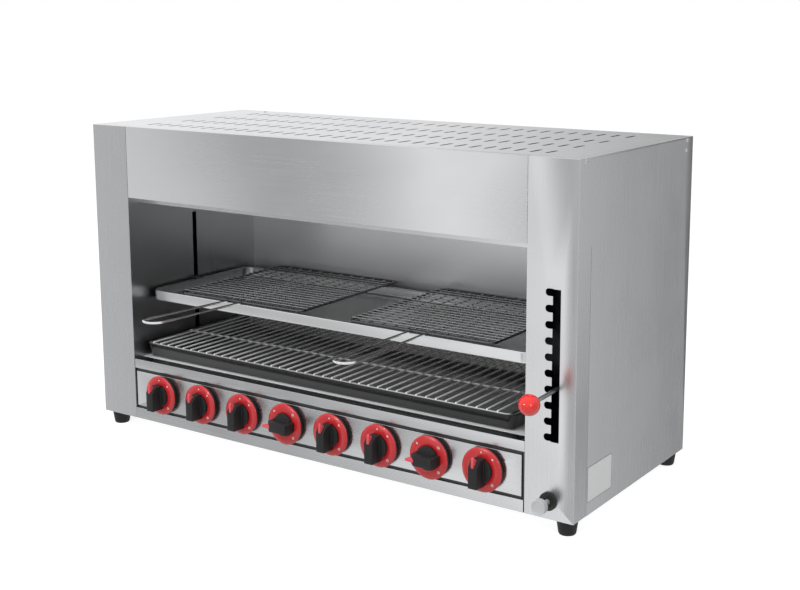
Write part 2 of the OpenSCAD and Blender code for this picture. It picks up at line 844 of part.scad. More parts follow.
module rod_brackets() {
  x0 = open_hw + liner_t;
  color(steel) stand() for (side = [-1, 1], z = [rod_z0 + 6, rod_z1 - 14]) difference() {
    block(min(side * x0, side * (guide_x + 15)), max(side * x0, side * (guide_x + 15)),
      guide_y - bracket_hd, guide_y + bracket_hd, z, z + bracket_t);
    rod_z(side * guide_x, guide_y, z - 1, z + bracket_t + 1, guide_r);
  }
}

// angle, upright, hook over the pan rim and arm through the wall slot on one side
module carriage_side() {
  angle_x = pan_hw + 0.2;
  upright_x = open_hw - 0.6;
  block(angle_x, angle_x + angle_t, angle_y0, angle_y1, pan_z - angle_t, pan_top - 5);
  block(angle_x + angle_t - angle_leg, angle_x + angle_t, angle_y0, angle_y1, pan_z - angle_t, pan_z);
  block(angle_x + angle_t, upright_x, guide_y - arm_hw, guide_y + arm_hw,
    arm_bottom, pan_top + rest_gap + hook_t);
  block(pan_hw - 6.5, upright_x, guide_y - arm_hw, guide_y + arm_hw,
    pan_top + rest_gap, pan_top + rest_gap + hook_t);
  block(upright_x - 1, block_x0, guide_y - arm_hw, guide_y + arm_hw, arm_bottom, arm_top);
}

module carriage_frame() {
  bar = pan_hw + 0.2 + angle_t;
  color(dark) stand() {
    carriage_side();
    mirror([1, 0, 0]) carriage_side();
    block(-bar, bar, pan_back + 4, angle_y1, pan_z + rear_bar_rise, pan_z + rear_bar_h);
  }
}

module slide_block() {
  difference() {
    block(block_x0, block_x1, guide_y - block_hd, guide_y + block_hd, block_z0, block_z1);
    rod_z(guide_x, guide_y, block_z0 - 1, block_z1 + 1, bush_r);
  }
}

module carriage_blocks() {
  plate_z = eye_h / 2 + clevis_gap;
  color(wire) stand() {
    mirror([1, 0, 0]) slide_block();
    slide_block();
    for (z = [pivot_z + plate_z, pivot_z - plate_z - clevis_t]) difference() {
      block(block_x1 - 0.5, pivot_x + 10, pivot_y - 10, pivot_y + 10, z, z + clevis_t);
      rod_z(pivot_x, pivot_y, z - 1, z + clevis_t + 1, pin_r);
    }
  }
}

module carriage_bushes() {
  color(brass) stand() for (side = [-1, 1]) difference() {
    rod_z(side * guide_x, guide_y, block_z0, block_z1, bush_r);
    rod_z(side * guide_x, guide_y, block_z0 - 1, block_z1 + 1, guide_r + run_fit);
  }
}

module lever_pivot() {
  reach = eye_h / 2 + clevis_gap + clevis_t + 2;
  color(wire) stand() rod_z(pivot_x, pivot_y, pivot_z - reach, pivot_z + reach, pin_r);
}

// turns the z axis into the line of the lever, starting on the pivot
module along_lever() {
  translate([pivot_x, pivot_y, pivot_z]) rotate([0, 0, -lever_lean]) rotate([90 + lever_drop, 0, 0])
    children();
}

module lever_rod() {
  color(dark) stand() difference() {
    union() {
      rod_z(pivot_x, pivot_y, pivot_z - eye_h / 2, pivot_z + eye_h / 2, eye_r);
      along_lever() translate([0, 0, 1]) cylinder(h = lever_l + 4, r = lever_r);
    }
    rod_z(pivot_x, pivot_y, pivot_z - eye_h, pivot_z + eye_h, pin_r + run_fit);
  }
}

module lever_ball() {
  color(red) stand() along_lever() translate([0, 0, lever_l]) difference() {
    sphere(r = ball_r);
    translate([0, 0, -ball_r - 1]) cylinder(h = ball_r + 6, r = lever_r);
  }
}

// ---------- pan, racks and tray ----------
module upper_pan() {
  color(wire) stand() translate([0, 0, pan_z]) difference() {
    linear_extrude(pan_h) pan_outline(0);
    translate([0, 0, sheet_t]) linear_extrude(pan_h - 2 * sheet_t) pan_outline(sheet_t);
    translate([0, 0, sheet_t]) linear_extrude(pan_h) pan_outline(pan_flange);
  }
}

module pan_outline(inset) {
  round_plate(-pan_hw + inset, pan_hw - inset, pan_front + inset, pan_back - inset,
    max(pan_corner - inset, 4));
}

// puts a rack, drawn flat with its front edge on y = 0, into its place
module place_rack(x, back, turn) {
  translate([x, rack_front + back, rack_z]) rotate([0, 0, turn]) children();
}

// frame, fine wires welded on it and cross wires under them; the front bar is
// cut where the legs of the handle pass
module rack_shape(shift) {
  hw = rack_w / 2 - frame_r;
  arc = handle_gap / 2;
  difference() {
    wire_frame(-hw, hw, frame_r, rack_d - frame_r, 0, rack_corner, frame_r);
    for (x = [shift - arc, shift + arc])
      block(x - handle_r, x + handle_r, -1, 2 * frame_r + 1, -frame_r - 1, frame_r + 1);
  }
  for (n = [1 : fine_count]) wire_x(-hw - 3, hw + 3, n * fine_pitch, fine_z, fine_r);
  for (n = [-6 : 6]) {
    x = shift + n * cross_pitch;
    if (abs(x) < hw - 8) wire_y(x, frame_r, rack_d - frame_r, cross_z, cross_r);
  }
}

// handle bent from one wire; its legs run under the fine wires of the rack
module handle_shape(shift, rise, side) {
  arc = handle_gap / 2;
  leg_l = (handle_reach + fold_y - arc - handle_r) / cos(handle_spread);
  wide = arc + leg_l * sin(handle_spread);
  for (x = [shift - arc, shift + arc]) wire_y(x, fold_y - 1, handle_leg, leg_z, handle_r);
  translate([shift, fold_y, leg_z]) rotate([-rise, 0, side]) {
    for (n = [-1, 1]) translate([n * arc, 0, 0]) rotate([0, 0, n * handle_spread])
      wire_y(0, -leg_l, 1, 0, handle_r);
    translate([0, -leg_l * cos(handle_spread) + 0.5, 0])
      wire_bend(0, 0, 0, wide, handle_r, 180, 180);
  }
}

module left_rack() {
  color(wire) stand() place_rack(left_rack_x, 0, left_rack_turn) rack_shape(left_handle_x);
}

module left_rack_handle() {
  color(wire) stand() place_rack(left_rack_x, 0, left_rack_turn)
    handle_shape(left_handle_x, left_handle_rise, left_handle_side);
}

module right_rack() {
  color(wire) stand() place_rack(right_rack_x, right_rack_back, right_rack_turn)
    rack_shape(right_handle_x);
}

module right_rack_handle() {
  color(wire) stand() place_rack(right_rack_x, right_rack_back, right_rack_turn)
    handle_shape(right_handle_x, right_handle_rise, right_handle_side);
}

module tray_solid(inset, z0, z1) {
  slope = tray_inset * (1 - (z0 - tray_z0) / (tray_top - tray_z0));
  low = inset + slope;
  hull() {
    translate([0, 0, z0]) linear_extrude(0.01)
      round_plate(tray_x0 + low, tray_x1 - low, tray_y0 + low, tray_y1 - low, tray_corner - inset, $fn = 32);
    translate([0, 0, z1 - 0.01]) linear_extrude(0.01)
      round_plate(tray_x0 + inset, tray_x1 - inset, tray_y0 + inset, tray_y1 - inset,
        tray_corner - inset, $fn = 32);
  }
}

module drip_tray() {
  color(enamel) stand() difference() {
    tray_solid(0, tray_z0, tray_top);
    tray_solid(tray_t, tray_z0 + tray_t, tray_top + 0.01);
  }
}

// a frame with straight wires laid on it, each a piece of its own at its weld
module lower_rack() {
  color(wire) stand() {
    wire_frame(low_x0, low_x1, low_y0, low_y1, low_z, low_corner, low_frame_r, weld_gap);
    for (n = [0 : low_count - 1])
      wire_y(low_x0 + low_first + n * low_pitch, low_y0 - 2, low_y1 + 2, low_wire_z, low_r);
    wire_x(low_x0 + low_frame_r + weld_gap, low_x1 - low_frame_r - weld_gap, low_cross_y,
      low_wire_z - low_r - low_cross_r - weld_gap, low_cross_r);
  }
}

// ---------- feet and screws ----------
module feet() {
  color(black) stand() for (x = [-1, 1], y = [foot_inset, body_d - foot_inset])
    translate([x * (half_w - foot_inset), y, -foot_h]) difference() {
      cylinder(h = foot_h, r1 = foot_tip_r, r2 = foot_r);
      translate([0, 0, foot_h - foot_socket]) cylinder(h = foot_socket + 1, r = bolt_r);
    }
}

module foot_bolts() {
  color(wire) stand() for (x = [-1, 1], y = [foot_inset, body_d - foot_inset])
    translate([x * (half_w - foot_inset), y, 0]) {
      translate([0, 0, -foot_socket]) cylinder(h = foot_bolt_l, r = bolt_r);
      translate([0, 0, sheet_t]) cylinder(h = foot_nut_t, r = bolt_r * 1.7, $fn = 6);
    }
}

// pan-head screw along z with its nut; the sheets lie between 0 and -grip
module screw(grip) {
  translate([0, 0, -grip - nut_t - 1]) cylinder(h = grip + nut_t + 1.5, r = shank_r);
  cylinder(h = head_t, r = head_r);
  translate([0, 0, -grip - nut_t]) cylinder(h = nut_t, r = head_r, $fn = 6);
}

module casing_screws() {
  color(wire) stand() {
    for (s = top_screws) translate([s[0], s[1], body_h]) screw(2 * sheet_t);
    for (s = side_screws, side = [-1, 1])
      translate([side * half_w, s[0], s[1]]) rotate([0, side * 90, 0]) screw(sheet_t);
    for (s = back_screws) translate([s[0], body_d, s[1]]) rotate([-90, 0, 0]) screw(sheet_t);
  }
}

// ---------- knobs ----------
// knob 4 and knob 7 stand turned to the left, the others upright
function knob_turn(k) = (k == 4 || k == 7) ? -90 : 0;

module at_knob(k) {
  stand() translate([knob_x(k), 0, knob_z]) rotate([0, knob_turn(k), 0]) children();
}

// grip seen from the side: a flat tail below, and a front that slopes back above
module grip_outline(grip_y, root_y) {
  polygon([[root_y, -grip_tail], [grip_y, -grip_tail], [grip_y, grip_nose - nose_slope],
    [grip_y + nose_slope, grip_nose], [root_y, grip_nose]]);
}

module knob(k) {
  hub_y = -ring_face - hub_rise;
  grip_y = hub_y - grip_rise;
  color(black) at_knob(k) union() {
    rod_y(0, -knob_gap - skirt_t, -knob_gap, 0, ring_r - 2);
    rod_y(0, hub_y, -knob_gap - 1, 0, hub_r);
    side_sheet(-grip_w / 2, grip_w) grip_outline(grip_y, -ring_face);
    rod_y(0, -knob_gap - 1, spindle_end, 0, spindle_r);
  }
}

module knob_ring(k) {
  color(red) at_knob(k) difference() {
    rod_y(0, -ring_face, -ring_face + ring_t, 0, ring_r);
    rod_y(0, -ring_face - 1, -ring_face + ring_t + 1, 0, hub_r);
  }
}

module knob_1() { knob(1); }
module knob_2() { knob(2); }
module knob_3() { knob(3); }
module knob_4() { knob(4); }
module knob_5() { knob(5); }
module knob_6() { knob(6); }
module knob_7() { knob(7); }
module knob_8() { knob(8); }
module knob_ring_1() { knob_ring(1); }
module knob_ring_2() { knob_ring(2); }
module knob_ring_3() { knob_ring(3); }
module knob_ring_4() { knob_ring(4); }
module knob_ring_5() { knob_ring(5); }
module knob_ring_6() { knob_ring(6); }
module knob_ring_7() { knob_ring(7); }
module knob_ring_8() { knob_ring(8); }

// ---------- every piece ----------
left_post();
right_post();
left_side_panel();
right_side_panel();
top_panel();
back_panel();
base_plate();
front_fascia();
burner_box();
inner_walls();
cavity_back_wall();
cavity_floor();
top_rail();
control_panel();
panel_backing();
bottom_rail();
burner_bodies();
burner_tiles();
gas_tubes();
gas_valves();
gas_manifold();
gas_inlet();
igniter_collar();
igniter_body();
igniter_button();
spark_electrode();
guide_rods();
rod_brackets();
carriage_frame();
carriage_blocks();
carriage_bushes();
lever_pivot();
lever_rod();
lever_ball();
upper_pan();
left_rack();
left_rack_handle();
right_rack();
right_rack_handle();
drip_tray();
lower_rack();
feet();
foot_bolts();
casing_screws();
knob_1();
knob_2();
knob_3();
knob_4();
knob_5();
knob_6();
knob_7();
knob_8();
knob_ring_1();
knob_ring_2();
knob_ring_3();
knob_ring_4();
knob_ring_5();
knob_ring_6();
knob_ring_7();
knob_ring_8();
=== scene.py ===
# %% [markdown]
# # A gas cheese melter in brushed stainless steel
# The unit stands on a counter. Its casing is folded from thin brushed sheet, and its open front
# holds a pan on a carriage with two wire racks, and below it a drip tray with a rack of its own.
# The solids come from a CAD model and stay where they are. This lesson gives them their finishes,
# and builds the pieces that need finer shapes.

# %% Load the solids
import json
import math
import bmesh
import bpy
from mathutils import Matrix, Vector

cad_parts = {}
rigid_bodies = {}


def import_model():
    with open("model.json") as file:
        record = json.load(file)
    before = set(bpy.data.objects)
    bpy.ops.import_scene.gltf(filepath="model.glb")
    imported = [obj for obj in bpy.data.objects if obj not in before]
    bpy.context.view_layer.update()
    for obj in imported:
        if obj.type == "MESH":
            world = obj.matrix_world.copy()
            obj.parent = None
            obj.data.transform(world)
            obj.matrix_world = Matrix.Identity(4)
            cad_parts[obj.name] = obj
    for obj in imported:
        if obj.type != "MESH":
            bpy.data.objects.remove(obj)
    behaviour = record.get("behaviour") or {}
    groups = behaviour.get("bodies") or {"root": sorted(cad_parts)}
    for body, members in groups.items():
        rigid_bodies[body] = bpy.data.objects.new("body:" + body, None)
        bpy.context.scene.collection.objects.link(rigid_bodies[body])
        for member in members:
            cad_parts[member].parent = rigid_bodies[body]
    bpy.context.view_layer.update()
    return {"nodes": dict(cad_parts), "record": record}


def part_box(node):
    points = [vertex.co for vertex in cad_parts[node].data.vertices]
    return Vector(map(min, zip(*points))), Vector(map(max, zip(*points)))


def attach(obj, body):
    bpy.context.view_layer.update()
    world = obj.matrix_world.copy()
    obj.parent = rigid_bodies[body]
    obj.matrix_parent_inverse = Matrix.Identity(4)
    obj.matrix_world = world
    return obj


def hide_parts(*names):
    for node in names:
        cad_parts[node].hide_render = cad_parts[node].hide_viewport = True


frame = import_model()
scene = bpy.context.scene

# %% [markdown]
# ## Places in millimetres
# A sheet-metal shop measures from the front face and from the casing's bottom edge, in millimetres.
# One helper turns such a place into metres in the frame, so every size below reads like one on a
# drawing.

# %% Measure from the front face and the bottom edge
MM = 0.001
front_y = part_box("front_fascia")[0].y
base_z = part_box("left_post")[0].z


def spot(x, y, z):
    """A place in mm: across from the middle, back from the front, up from the casing's bottom."""
    return Vector((x * MM, front_y + y * MM, base_z + z * MM))


def box_mm(node):
    """The lowest and highest corner of a solid, in the same millimetres."""
    low, high = (corner - spot(0, 0, 0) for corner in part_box(node))
    return low / MM, high / MM


print("front face", round(front_y, 4), "casing bottom", round(base_z, 4))

# %% [markdown]
# ## Nodes and colours
# Materials, the world and Geometry Nodes are all trees of nodes, so one small function adds a node,
# sets it and links it. Colours are picked on a screen as sRGB hex values, while Blender works in
# linear light, so one function turns the one into the other.

# %% Add a node, turn a colour to linear
def add(tree, kind, inputs=None, **settings):
    """Adds one node. Inputs are values or sockets of other nodes, by the input's name or number."""
    node = tree.nodes.new(kind)
    for key, value in settings.items():
        setattr(node, key, value)
    for key, value in (inputs or {}).items():
        if isinstance(value, bpy.types.NodeSocket):
            tree.links.new(value, node.inputs[key])
        else:
            node.inputs[key].default_value = value
    return node


def srgb(code, share=1.0):
    """A hex colour such as CDCED0 as linear red, green, blue, alpha; share scales its brightness."""
    parts = [int(code[n:n + 2], 16) / 255 for n in (0, 2, 4)]
    linear = [p / 12.92 if p <= 0.04045 else ((p + 0.055) / 1.055) ** 2.4 for p in parts]
    return [min(p * share, 1.0) for p in linear] + [1.0]


print("mid grey", [round(v, 3) for v in srgb("808080")])

# %% [markdown]
# ## Start of every material
# Each finish is a Principled shader. What is the same all over the surface is set on the shader
# itself, and what varies comes from a pattern in Object coordinates, so a pattern keeps its real
# size on every piece. A noise texture stays mostly between 0.3 and 0.7, so a Map Range stretches
# that part of it to the values that are wanted.

# %% Start a material and a pattern
def new_material(name, color, roughness, metallic=0.0, **sockets):
    """A material with one Principled shader; sockets such as Coat_Weight are set by name."""
    material = bpy.data.materials.new(name)
    material.use_nodes = True
    tree = material.node_tree
    tree.nodes.clear()
    values = {"Base Color": srgb(color), "Roughness": roughness, "Metallic": metallic}
    values.update({key.replace("_", " "): value for key, value in sockets.items()})
    shader = add(tree, "ShaderNodeBsdfPrincipled", values)
    add(tree, "ShaderNodeOutputMaterial", {"Surface": shader.outputs[0]})
    return material, tree, shader


USUAL = {"From Min": 0.3, "From Max": 0.7}


def lumps(tree, size, detail=3.0):
    """A pattern of soft lumps that have the given size in mm, one number or three."""
    sizes = size if isinstance(size, (list, tuple)) else (size, size, size)
    where = add(tree, "ShaderNodeTexCoord").outputs["Object"]
    scale = [1 / (s * MM) for s in sizes]
    moved = add(tree, "ShaderNodeMapping", {"Vector": where, "Scale": scale})
    inputs = {"Vector": moved.outputs[0], "Scale": 1.0, "Detail": detail}
    return add(tree, "ShaderNodeTexNoise", inputs).outputs[0]


print("material helpers ready")

# %% [markdown]
# ## Brushed stainless steel
# The sheets are 1.2 mm stainless steel with a number 4 finish: a belt of about 180 grit leaves fine
# parallel lines. They catch the light as streaks along the belt's way. Real lines are 0.1 mm wide
# and too fine to show, so the pattern is drawn 1.6 mm wide and 180 mm long. Broad, faint clouds
# stand for the uneven pressure of the belt.

# %% Make brushed steel for each brushing direction
STREAK = 1.6
STREAK_LENGTH = 180
CLOUD = 170
CLOUD_CONTRAST = 0.02


def brushed_steel(name, color, roughness, along, contrast=0.012, depth=0.0007, metallic=1.0):
    """Steel brushed along axis 0, 1 or 2; contrast is how much the lines change tone and gloss."""
    material, tree, shader = new_material(name, color, roughness, metallic)
    sizes = [STREAK] * 3
    sizes[along] = STREAK_LENGTH
    lines, clouds = lumps(tree, sizes, 1.0), lumps(tree, CLOUD, 2.0)
    line_range = {**USUAL, "Value": lines, "To Min": -contrast, "To Max": contrast}
    cloud_range = {**USUAL, "Value": clouds, "To Min": -CLOUD_CONTRAST, "To Max": CLOUD_CONTRAST}
    fine = add(tree, "ShaderNodeMapRange", line_range)
    broad = add(tree, "ShaderNodeMapRange", cloud_range)
    uneven = add(tree, "ShaderNodeMath", {0: fine.outputs[0], 1: broad.outputs[0]})
    total = add(tree, "ShaderNodeMath", {0: uneven.outputs[0], 1: roughness})
    tree.links.new(total.outputs[0], shader.inputs["Roughness"])
    mix = add(tree, "ShaderNodeMapRange", {**USUAL, "Value": lines})
    tones = {0: mix.outputs[0], 6: srgb(color, 1 - contrast), 7: srgb(color, 1 + contrast)}
    tint = add(tree, "ShaderNodeMix", tones, data_type="RGBA")
    tree.links.new(tint.outputs[2], shader.inputs["Base Color"])
    bump = add(tree, "ShaderNodeBump", {"Height": lines, "Distance": depth * MM})
    tree.links.new(bump.outputs[0], shader.inputs["Normal"])
    return material


# Sheets brushed from side to side, such as the fascia: long level streaks.
steel_across = brushed_steel("stainless_brushed_across", "CDCED0", 0.26, 0)
# Posts and side panels, brushed up and down.
steel_upright = brushed_steel("stainless_brushed_upright", "CDCED0", 0.27, 2)
# The back wall, duller than the outside after some heat; its base is lighter than the outside's, which
# is painted light.
liner_steel_painted_light = brushed_steel("stainless_liner_across_painted_light", "DADBDD", 0.36, 0, metallic=0.8)
# The inner walls, darker because they face each other.
liner_upright = brushed_steel("stainless_liner_upright", "B0B1B3", 0.30, 2)
# The floor of the opening, scoured until it is almost matt.
floor_steel = brushed_steel("stainless_liner_floor", "ECEDEE", 0.50, 0, metallic=0.25)
# The pan, a little brighter, as it is polished before it is pressed.
pan_steel = brushed_steel("stainless_pan", "D8D9DA", 0.30, 0)
print("brushed steels", len(bpy.data.materials))

# %% [markdown]
# ## Plastics, enamel, rubber and the metals inside
# The controls are moulded plastic: a black knob, a red ring with printed marks and a red phenolic
# ball. Moulded parts have a very fine grain and a soft gloss. Their real grain is about 0.1 mm, too
# fine to show, so it is drawn 0.5 to 2 mm wide. The drip tray is dark enamelled steel, the wires
# are plated, and the gas parts are brass, aluminium tube and cast iron. The burners' faces are
# perforated ceramic tiles.

# %% Start a finish with grain
def grained(name, color, roughness, size, depth, change=0.06, metallic=0.0, **sockets):
    """A finish with grain of a size in mm that lifts the surface and changes the gloss a little."""
    material, tree, shader = new_material(name, color, roughness, metallic, **sockets)
    grain = lumps(tree, size)
    limits = {**USUAL, "Value": grain, "To Min": roughness - change, "To Max": roughness + change}
    uneven = add(tree, "ShaderNodeMapRange", limits)
    tree.links.new(uneven.outputs[0], shader.inputs["Roughness"])
    bump = add(tree, "ShaderNodeBump", {"Height": grain, "Distance": depth * MM})
    tree.links.new(bump.outputs[0], shader.inputs["Normal"])
    return material


print("grain helper ready")

# %% Start a finish with holes
HOLE_RIM = (0.28, 0.36)
HOLE_DEPTH = 0.8


def perforated(name, color, hole_color, pitch):
    """Ceramic with rows of small gas holes, drawn as dark dots at the real pitch in mm."""
    material, tree, shader = new_material(name, color, 0.85)
    where = add(tree, "ShaderNodeTexCoord").outputs["Object"]
    grid = {"Vector": where, "Scale": 1 / (pitch * MM), "Randomness": 0.0}
    cells = add(tree, "ShaderNodeTexVoronoi", grid)
    edge = {"Value": cells.outputs["Distance"], "From Min": HOLE_RIM[0], "From Max": HOLE_RIM[1]}
    holes = add(tree, "ShaderNodeMapRange", edge)
    tones = add(tree, "ShaderNodeValToRGB", {"Fac": holes.outputs[0]})
    tones.color_ramp.elements[0].color = srgb(hole_color)
    tones.color_ramp.elements[1].color = srgb(color)
    tree.links.new(tones.outputs[0], shader.inputs["Base Color"])
    bump = add(tree, "ShaderNodeBump", {"Height": holes.outputs[0], "Distance": HOLE_DEPTH * MM})
    tree.links.new(bump.outputs[0], shader.inputs["Normal"])
    return material


print("hole helper ready")

# %% Finish the controls, the feet and the plate
# ABS from a lightly etched mould: black, with a soft sheen and no sharp highlight.
knob_black = grained("abs_black_moulded", "262728", 0.40, 1.6, 0.008, Specular_IOR_Level=0.22)
# Red ABS from a smoother mould, with a thin clear lacquer that rounds off its shine.
ring_red = grained("abs_red_moulded", "C4262B", 0.30, 1.2, 0.008,
                   Coat_Weight=0.25, Coat_Roughness=0.12)
# A paler red insert, so that the pointer stands out from the black grip.
tongue_red = grained("abs_light_red_moulded", "E0525C", 0.32, 1.2, 0.008)
# Pad printing ink, which dries matt and a little cream.
mark_white = grained("pad_printed_white", "E4DEDC", 0.55, 0.6, 0.004)
# Phenolic resin, tumbled until it is glossy: small, crisp highlights.
ball_red = grained("phenolic_red_polished", "EA2623", 0.13, 6.0, 0.004, 0.03,
                   Coat_Weight=0.3, Coat_Roughness=0.05)
# Glass-filled nylon: black and dull, with a slightly sandy skin.
part_black = grained("nylon_black", "161617", 0.45, 0.8, 0.015)
# ABS with silver paint: the tone of metal without a mirror image.
cap_silver = grained("plastic_silver_painted", "C3C6C9", 0.38, 0.5, 0.008, metallic=0.35)
# Moulded rubber: almost black and matt.
foot_black = grained("rubber_black", "111112", 0.62, 0.9, 0.03, Specular_IOR_Level=0.4)
# Vinyl film: white and satin.
plate_white = grained("vinyl_white", "F6F7F7", 0.42, 1.0, 0.004)
# Grey printing ink on the film.
plate_grey = grained("ink_grey", "8A8C8F", 0.50, 1.0, 0.004)
print("finishes", len(bpy.data.materials))

# %% Finish the tray, the wires and the steel parts
# Enamel fired on steel: a smooth, glassy skin over dark grey.
enamel_dark = grained("enamel_dark_grey", "1C1C1B", 0.15, 3.0, 0.004, 0.03, IOR=1.34,
                      Coat_Weight=0.7, Coat_Roughness=0.04, Coat_IOR=1.34)
# The same enamel inside the tray, on its upward faces in a lighter grey that is painted light, and
# partly metal, so that it mirrors the rack above it.
enamel_inside_painted_light = grained("enamel_grey_painted_light", "7C7C7A", 0.16, 3.0, 0.004, 0.03, metallic=0.6)
# Sheet in a dark grey that stands in for the shade in the gaps, where it shows as dark lines round the
# control panel: painted shade.
dark_sheet = grained("steel_dark_painted_shade", "3A3B3C", 0.50, 1.0, 0.02, 0.08, metallic=0.3)
# Turned rod: a narrow streak of light along it.
rod_steel = grained("steel_turned", "8E9093", 0.26, 0.8, 0.006, metallic=0.9)
# The carriage's frame, in dark grey heat-proof paint.
frame_steel = grained("steel_grey_painted", "37383A", 0.42, 1.5, 0.02)
# Chrome plated wire: bright, with dark and light lines side by side.
chrome = grained("wire_chrome_plated", "E2E3E5", 0.18, 2.0, 0.006, 0.06, metallic=1.0)
# Nickel plated wire, greyer and softer than chrome.
nickel = grained("wire_nickel_plated", "BDBEC0", 0.22, 2.0, 0.006, 0.06, metallic=1.0)
# The racks' frame wire, in a darker grey that is painted shade, so the front bars show dark.
frame_wire_painted_dark = grained("wire_frame_painted_shade", "6C6D70", 0.28, 2.0, 0.006, 0.06, metallic=1.0)
# Tinned wire: pale, with a broad soft shine; its colour is lifted close to white as painted light, so
# it stays light inside the dark opening.
tinned = grained("wire_tinned_painted_light", "F2F2F3", 0.32, 2.0, 0.006, 0.06, metallic=0.35)
# Zinc plate on the screws: light grey and fairly bright.
zinc = grained("steel_zinc_plated", "BFC1C4", 0.28, 1.0, 0.008, metallic=1.0)
# Plain steel brackets with their rolling lines left on.
bracket = brushed_steel("steel_bracket", "9B9DA0", 0.36, 0)
print("finishes", len(bpy.data.materials))

# %% Finish the burners and the gas line
# Cast iron keeps the rough, dark skin of its sand mould.
cast_iron = grained("iron_sand_cast", "343332", 0.70, 1.4, 0.25, 0.10, metallic=0.4)
# Cream ceramic with gas holes 2.4 mm apart.
tile_clay = perforated("ceramic_perforated", "D9CBB4", "2A2420", 2.4)
# Drawn aluminium tube: light and satin.
tube_alloy = grained("aluminium_tube", "C9CACB", 0.33, 1.0, 0.008, metallic=1.0)
# Turned brass: yellow, with fine tool marks.
brass = grained("brass_turned", "B98F45", 0.28, 0.8, 0.008, metallic=1.0)
# Sintered bronze: porous, so brown and dull.
bronze = grained("bronze_sintered", "9A7040", 0.45, 0.6, 0.02, metallic=1.0)
# Steel pipe in grey paint, a little uneven.
pipe_grey = grained("steel_pipe_grey_painted", "6F7275", 0.48, 1.5, 0.03)
print("finishes", len(bpy.data.materials))

# %% Match the finishes to the material slots
FINISH = {
    "brushed_sheet": steel_across, "liner_sheet": liner_steel_painted_light, "dark_sheet": dark_sheet,
    "burner_iron": cast_iron, "burner_ceramic": tile_clay, "gas_pipe": tube_alloy,
    "valve_brass": brass, "manifold_steel": pipe_grey, "black_plastic": part_black,
    "knob_plastic": knob_black, "ring_plastic": ring_red, "ball_plastic": ball_red,
    "bright_metal": zinc, "bracket_steel": bracket, "bronze": bronze, "dark_steel": rod_steel,
    "pan_steel": pan_steel, "chrome_wire": chrome, "tray_enamel": enamel_dark,
    "foot_rubber": foot_black,
}
SLOT_OF = {part["node"]: part["material_slot"] for part in frame["record"]["subparts"]}
print("slots", len(FINISH))

# %% [markdown]
# ## Finishes for the solids that stay
# Flat sheets, tubes and blocks already have the right shape, so they keep it and only get their
# finish. A sheet is brushed before it is folded, so the posts and sides have upright lines while
# the roof, the fascia and the rails have lines from side to side.

# %% Dress the solids
BRUSHED_WAY = {
    "left_post": steel_upright, "right_post": steel_upright, "left_side_panel": steel_upright,
    "right_side_panel": steel_upright, "top_panel": steel_across, "inner_walls": liner_upright,
    "carriage_frame": frame_steel, "cavity_floor": floor_steel,
}
for name, solid in frame["nodes"].items():
    finish = BRUSHED_WAY.get(name, FINISH[SLOT_OF[name]])
    if not solid.material_slots:
        solid.data.materials.append(finish)
    for place in solid.material_slots:
        place.material = finish
print("dressed", len(frame["nodes"]))

# %% [markdown]
# ## Turning a finished mesh into a piece
# A new piece rides on the body that carries it and stands for the solid that it details; where it
# has no finish of its own, it takes the one of a material slot. Its doubles are merged before its
# faces are turned outwards, and flat faces stay crisp while round ones are shaded smooth.

# %% Finish a piece
def finished(name, bm, body, slot_name, *nodes, finish=None, smooth=35):
    """Makes an object from a bmesh, with its place in its mesh, and hangs it on its body."""
    bmesh.ops.remove_doubles(bm, verts=bm.verts, dist=1e-7)
    bmesh.ops.recalc_face_normals(bm, faces=bm.faces)
    mesh = bpy.data.meshes.new(name)
    bm.to_mesh(mesh)
    bm.free()
    mesh.materials.clear()
    mesh.materials.append(finish or FINISH[slot_name])
    mesh.shade_smooth()
    mesh.set_sharp_from_angle(angle=math.radians(smooth))
    piece = bpy.data.objects.new(name, mesh)
    scene.collection.objects.link(piece)
    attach(piece, body)
    if nodes:
        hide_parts(*nodes)
    print(name, "faces", len(mesh.polygons))
    return piece


# %% [markdown]
# ## Bent edges on the sheets
# A press brake leaves a round bend, 1 to 2 mm outside and less inside on this sheet, and the cut
# edges are broken a little so that nobody gets hurt. Those bends catch thin bright lines of light.
# A copy of each solid is merged, and an edge is told by its neighbours: where one of them is only
# as wide as the sheet, it is a cut edge. Each side panel butts against the post that wraps round
# the corner. That joint shows as a thin dark line, so the panel's front edge is set back a little.

# %% Tell a bend from a cut edge
SHORTEST_BEND = 25
FLATTEST_BEND = math.radians(40)
CUT_WIDTH = 2.2


def edge_kind(edge):
    """Cut edge, outer bend, inner bend, or None for an edge that stays sharp."""
    length = edge.calc_length()
    if length < SHORTEST_BEND * MM or len(edge.link_faces) != 2:
        return None
    if edge.calc_face_angle(0) < FLATTEST_BEND:
        return None
    widths = [face.calc_area() / length for face in edge.link_faces]
    if min(widths) < CUT_WIDTH * MM:
        return "cut"
    return "out" if edge.is_convex else "in"


print("bends are longer than", SHORTEST_BEND, "mm")

# %% Round the bends of the sheets
BEND_IN = 0.5
CUT_EDGE = 0.25
SEAM_Y = 47.5
SEAM_OPEN = 1.0


def softened(node, finish, bend_out):
    """Stands for a sheet solid, with its bends, of a radius in mm, and its cut edges rounded."""
    bm = bmesh.new()
    bm.from_mesh(frame["nodes"][node].data)
    bmesh.ops.remove_doubles(bm, verts=bm.verts, dist=1e-6)
    bmesh.ops.dissolve_limit(bm, angle_limit=math.radians(0.5), verts=bm.verts, edges=bm.edges)
    if node.endswith("side_panel"):
        seam = spot(0, SEAM_Y, 0).y
        for vert in bm.verts:
            if abs(vert.co.y - seam) < SEAM_OPEN / 2 * MM:
                vert.co.y += SEAM_OPEN * MM
    for kind, radius, steps in (("out", bend_out, 4), ("in", BEND_IN, 2), ("cut", CUT_EDGE, 1)):
        edges = [edge for edge in bm.edges if edge_kind(edge) == kind]
        if edges:
            bmesh.ops.bevel(bm, geom=edges, offset=radius * MM, segments=steps, profile=0.5,
                            affect="EDGES", clamp_overlap=True)
    finished(node + "_folded", bm, "casing", SLOT_OF[node], node, finish=finish, smooth=30)


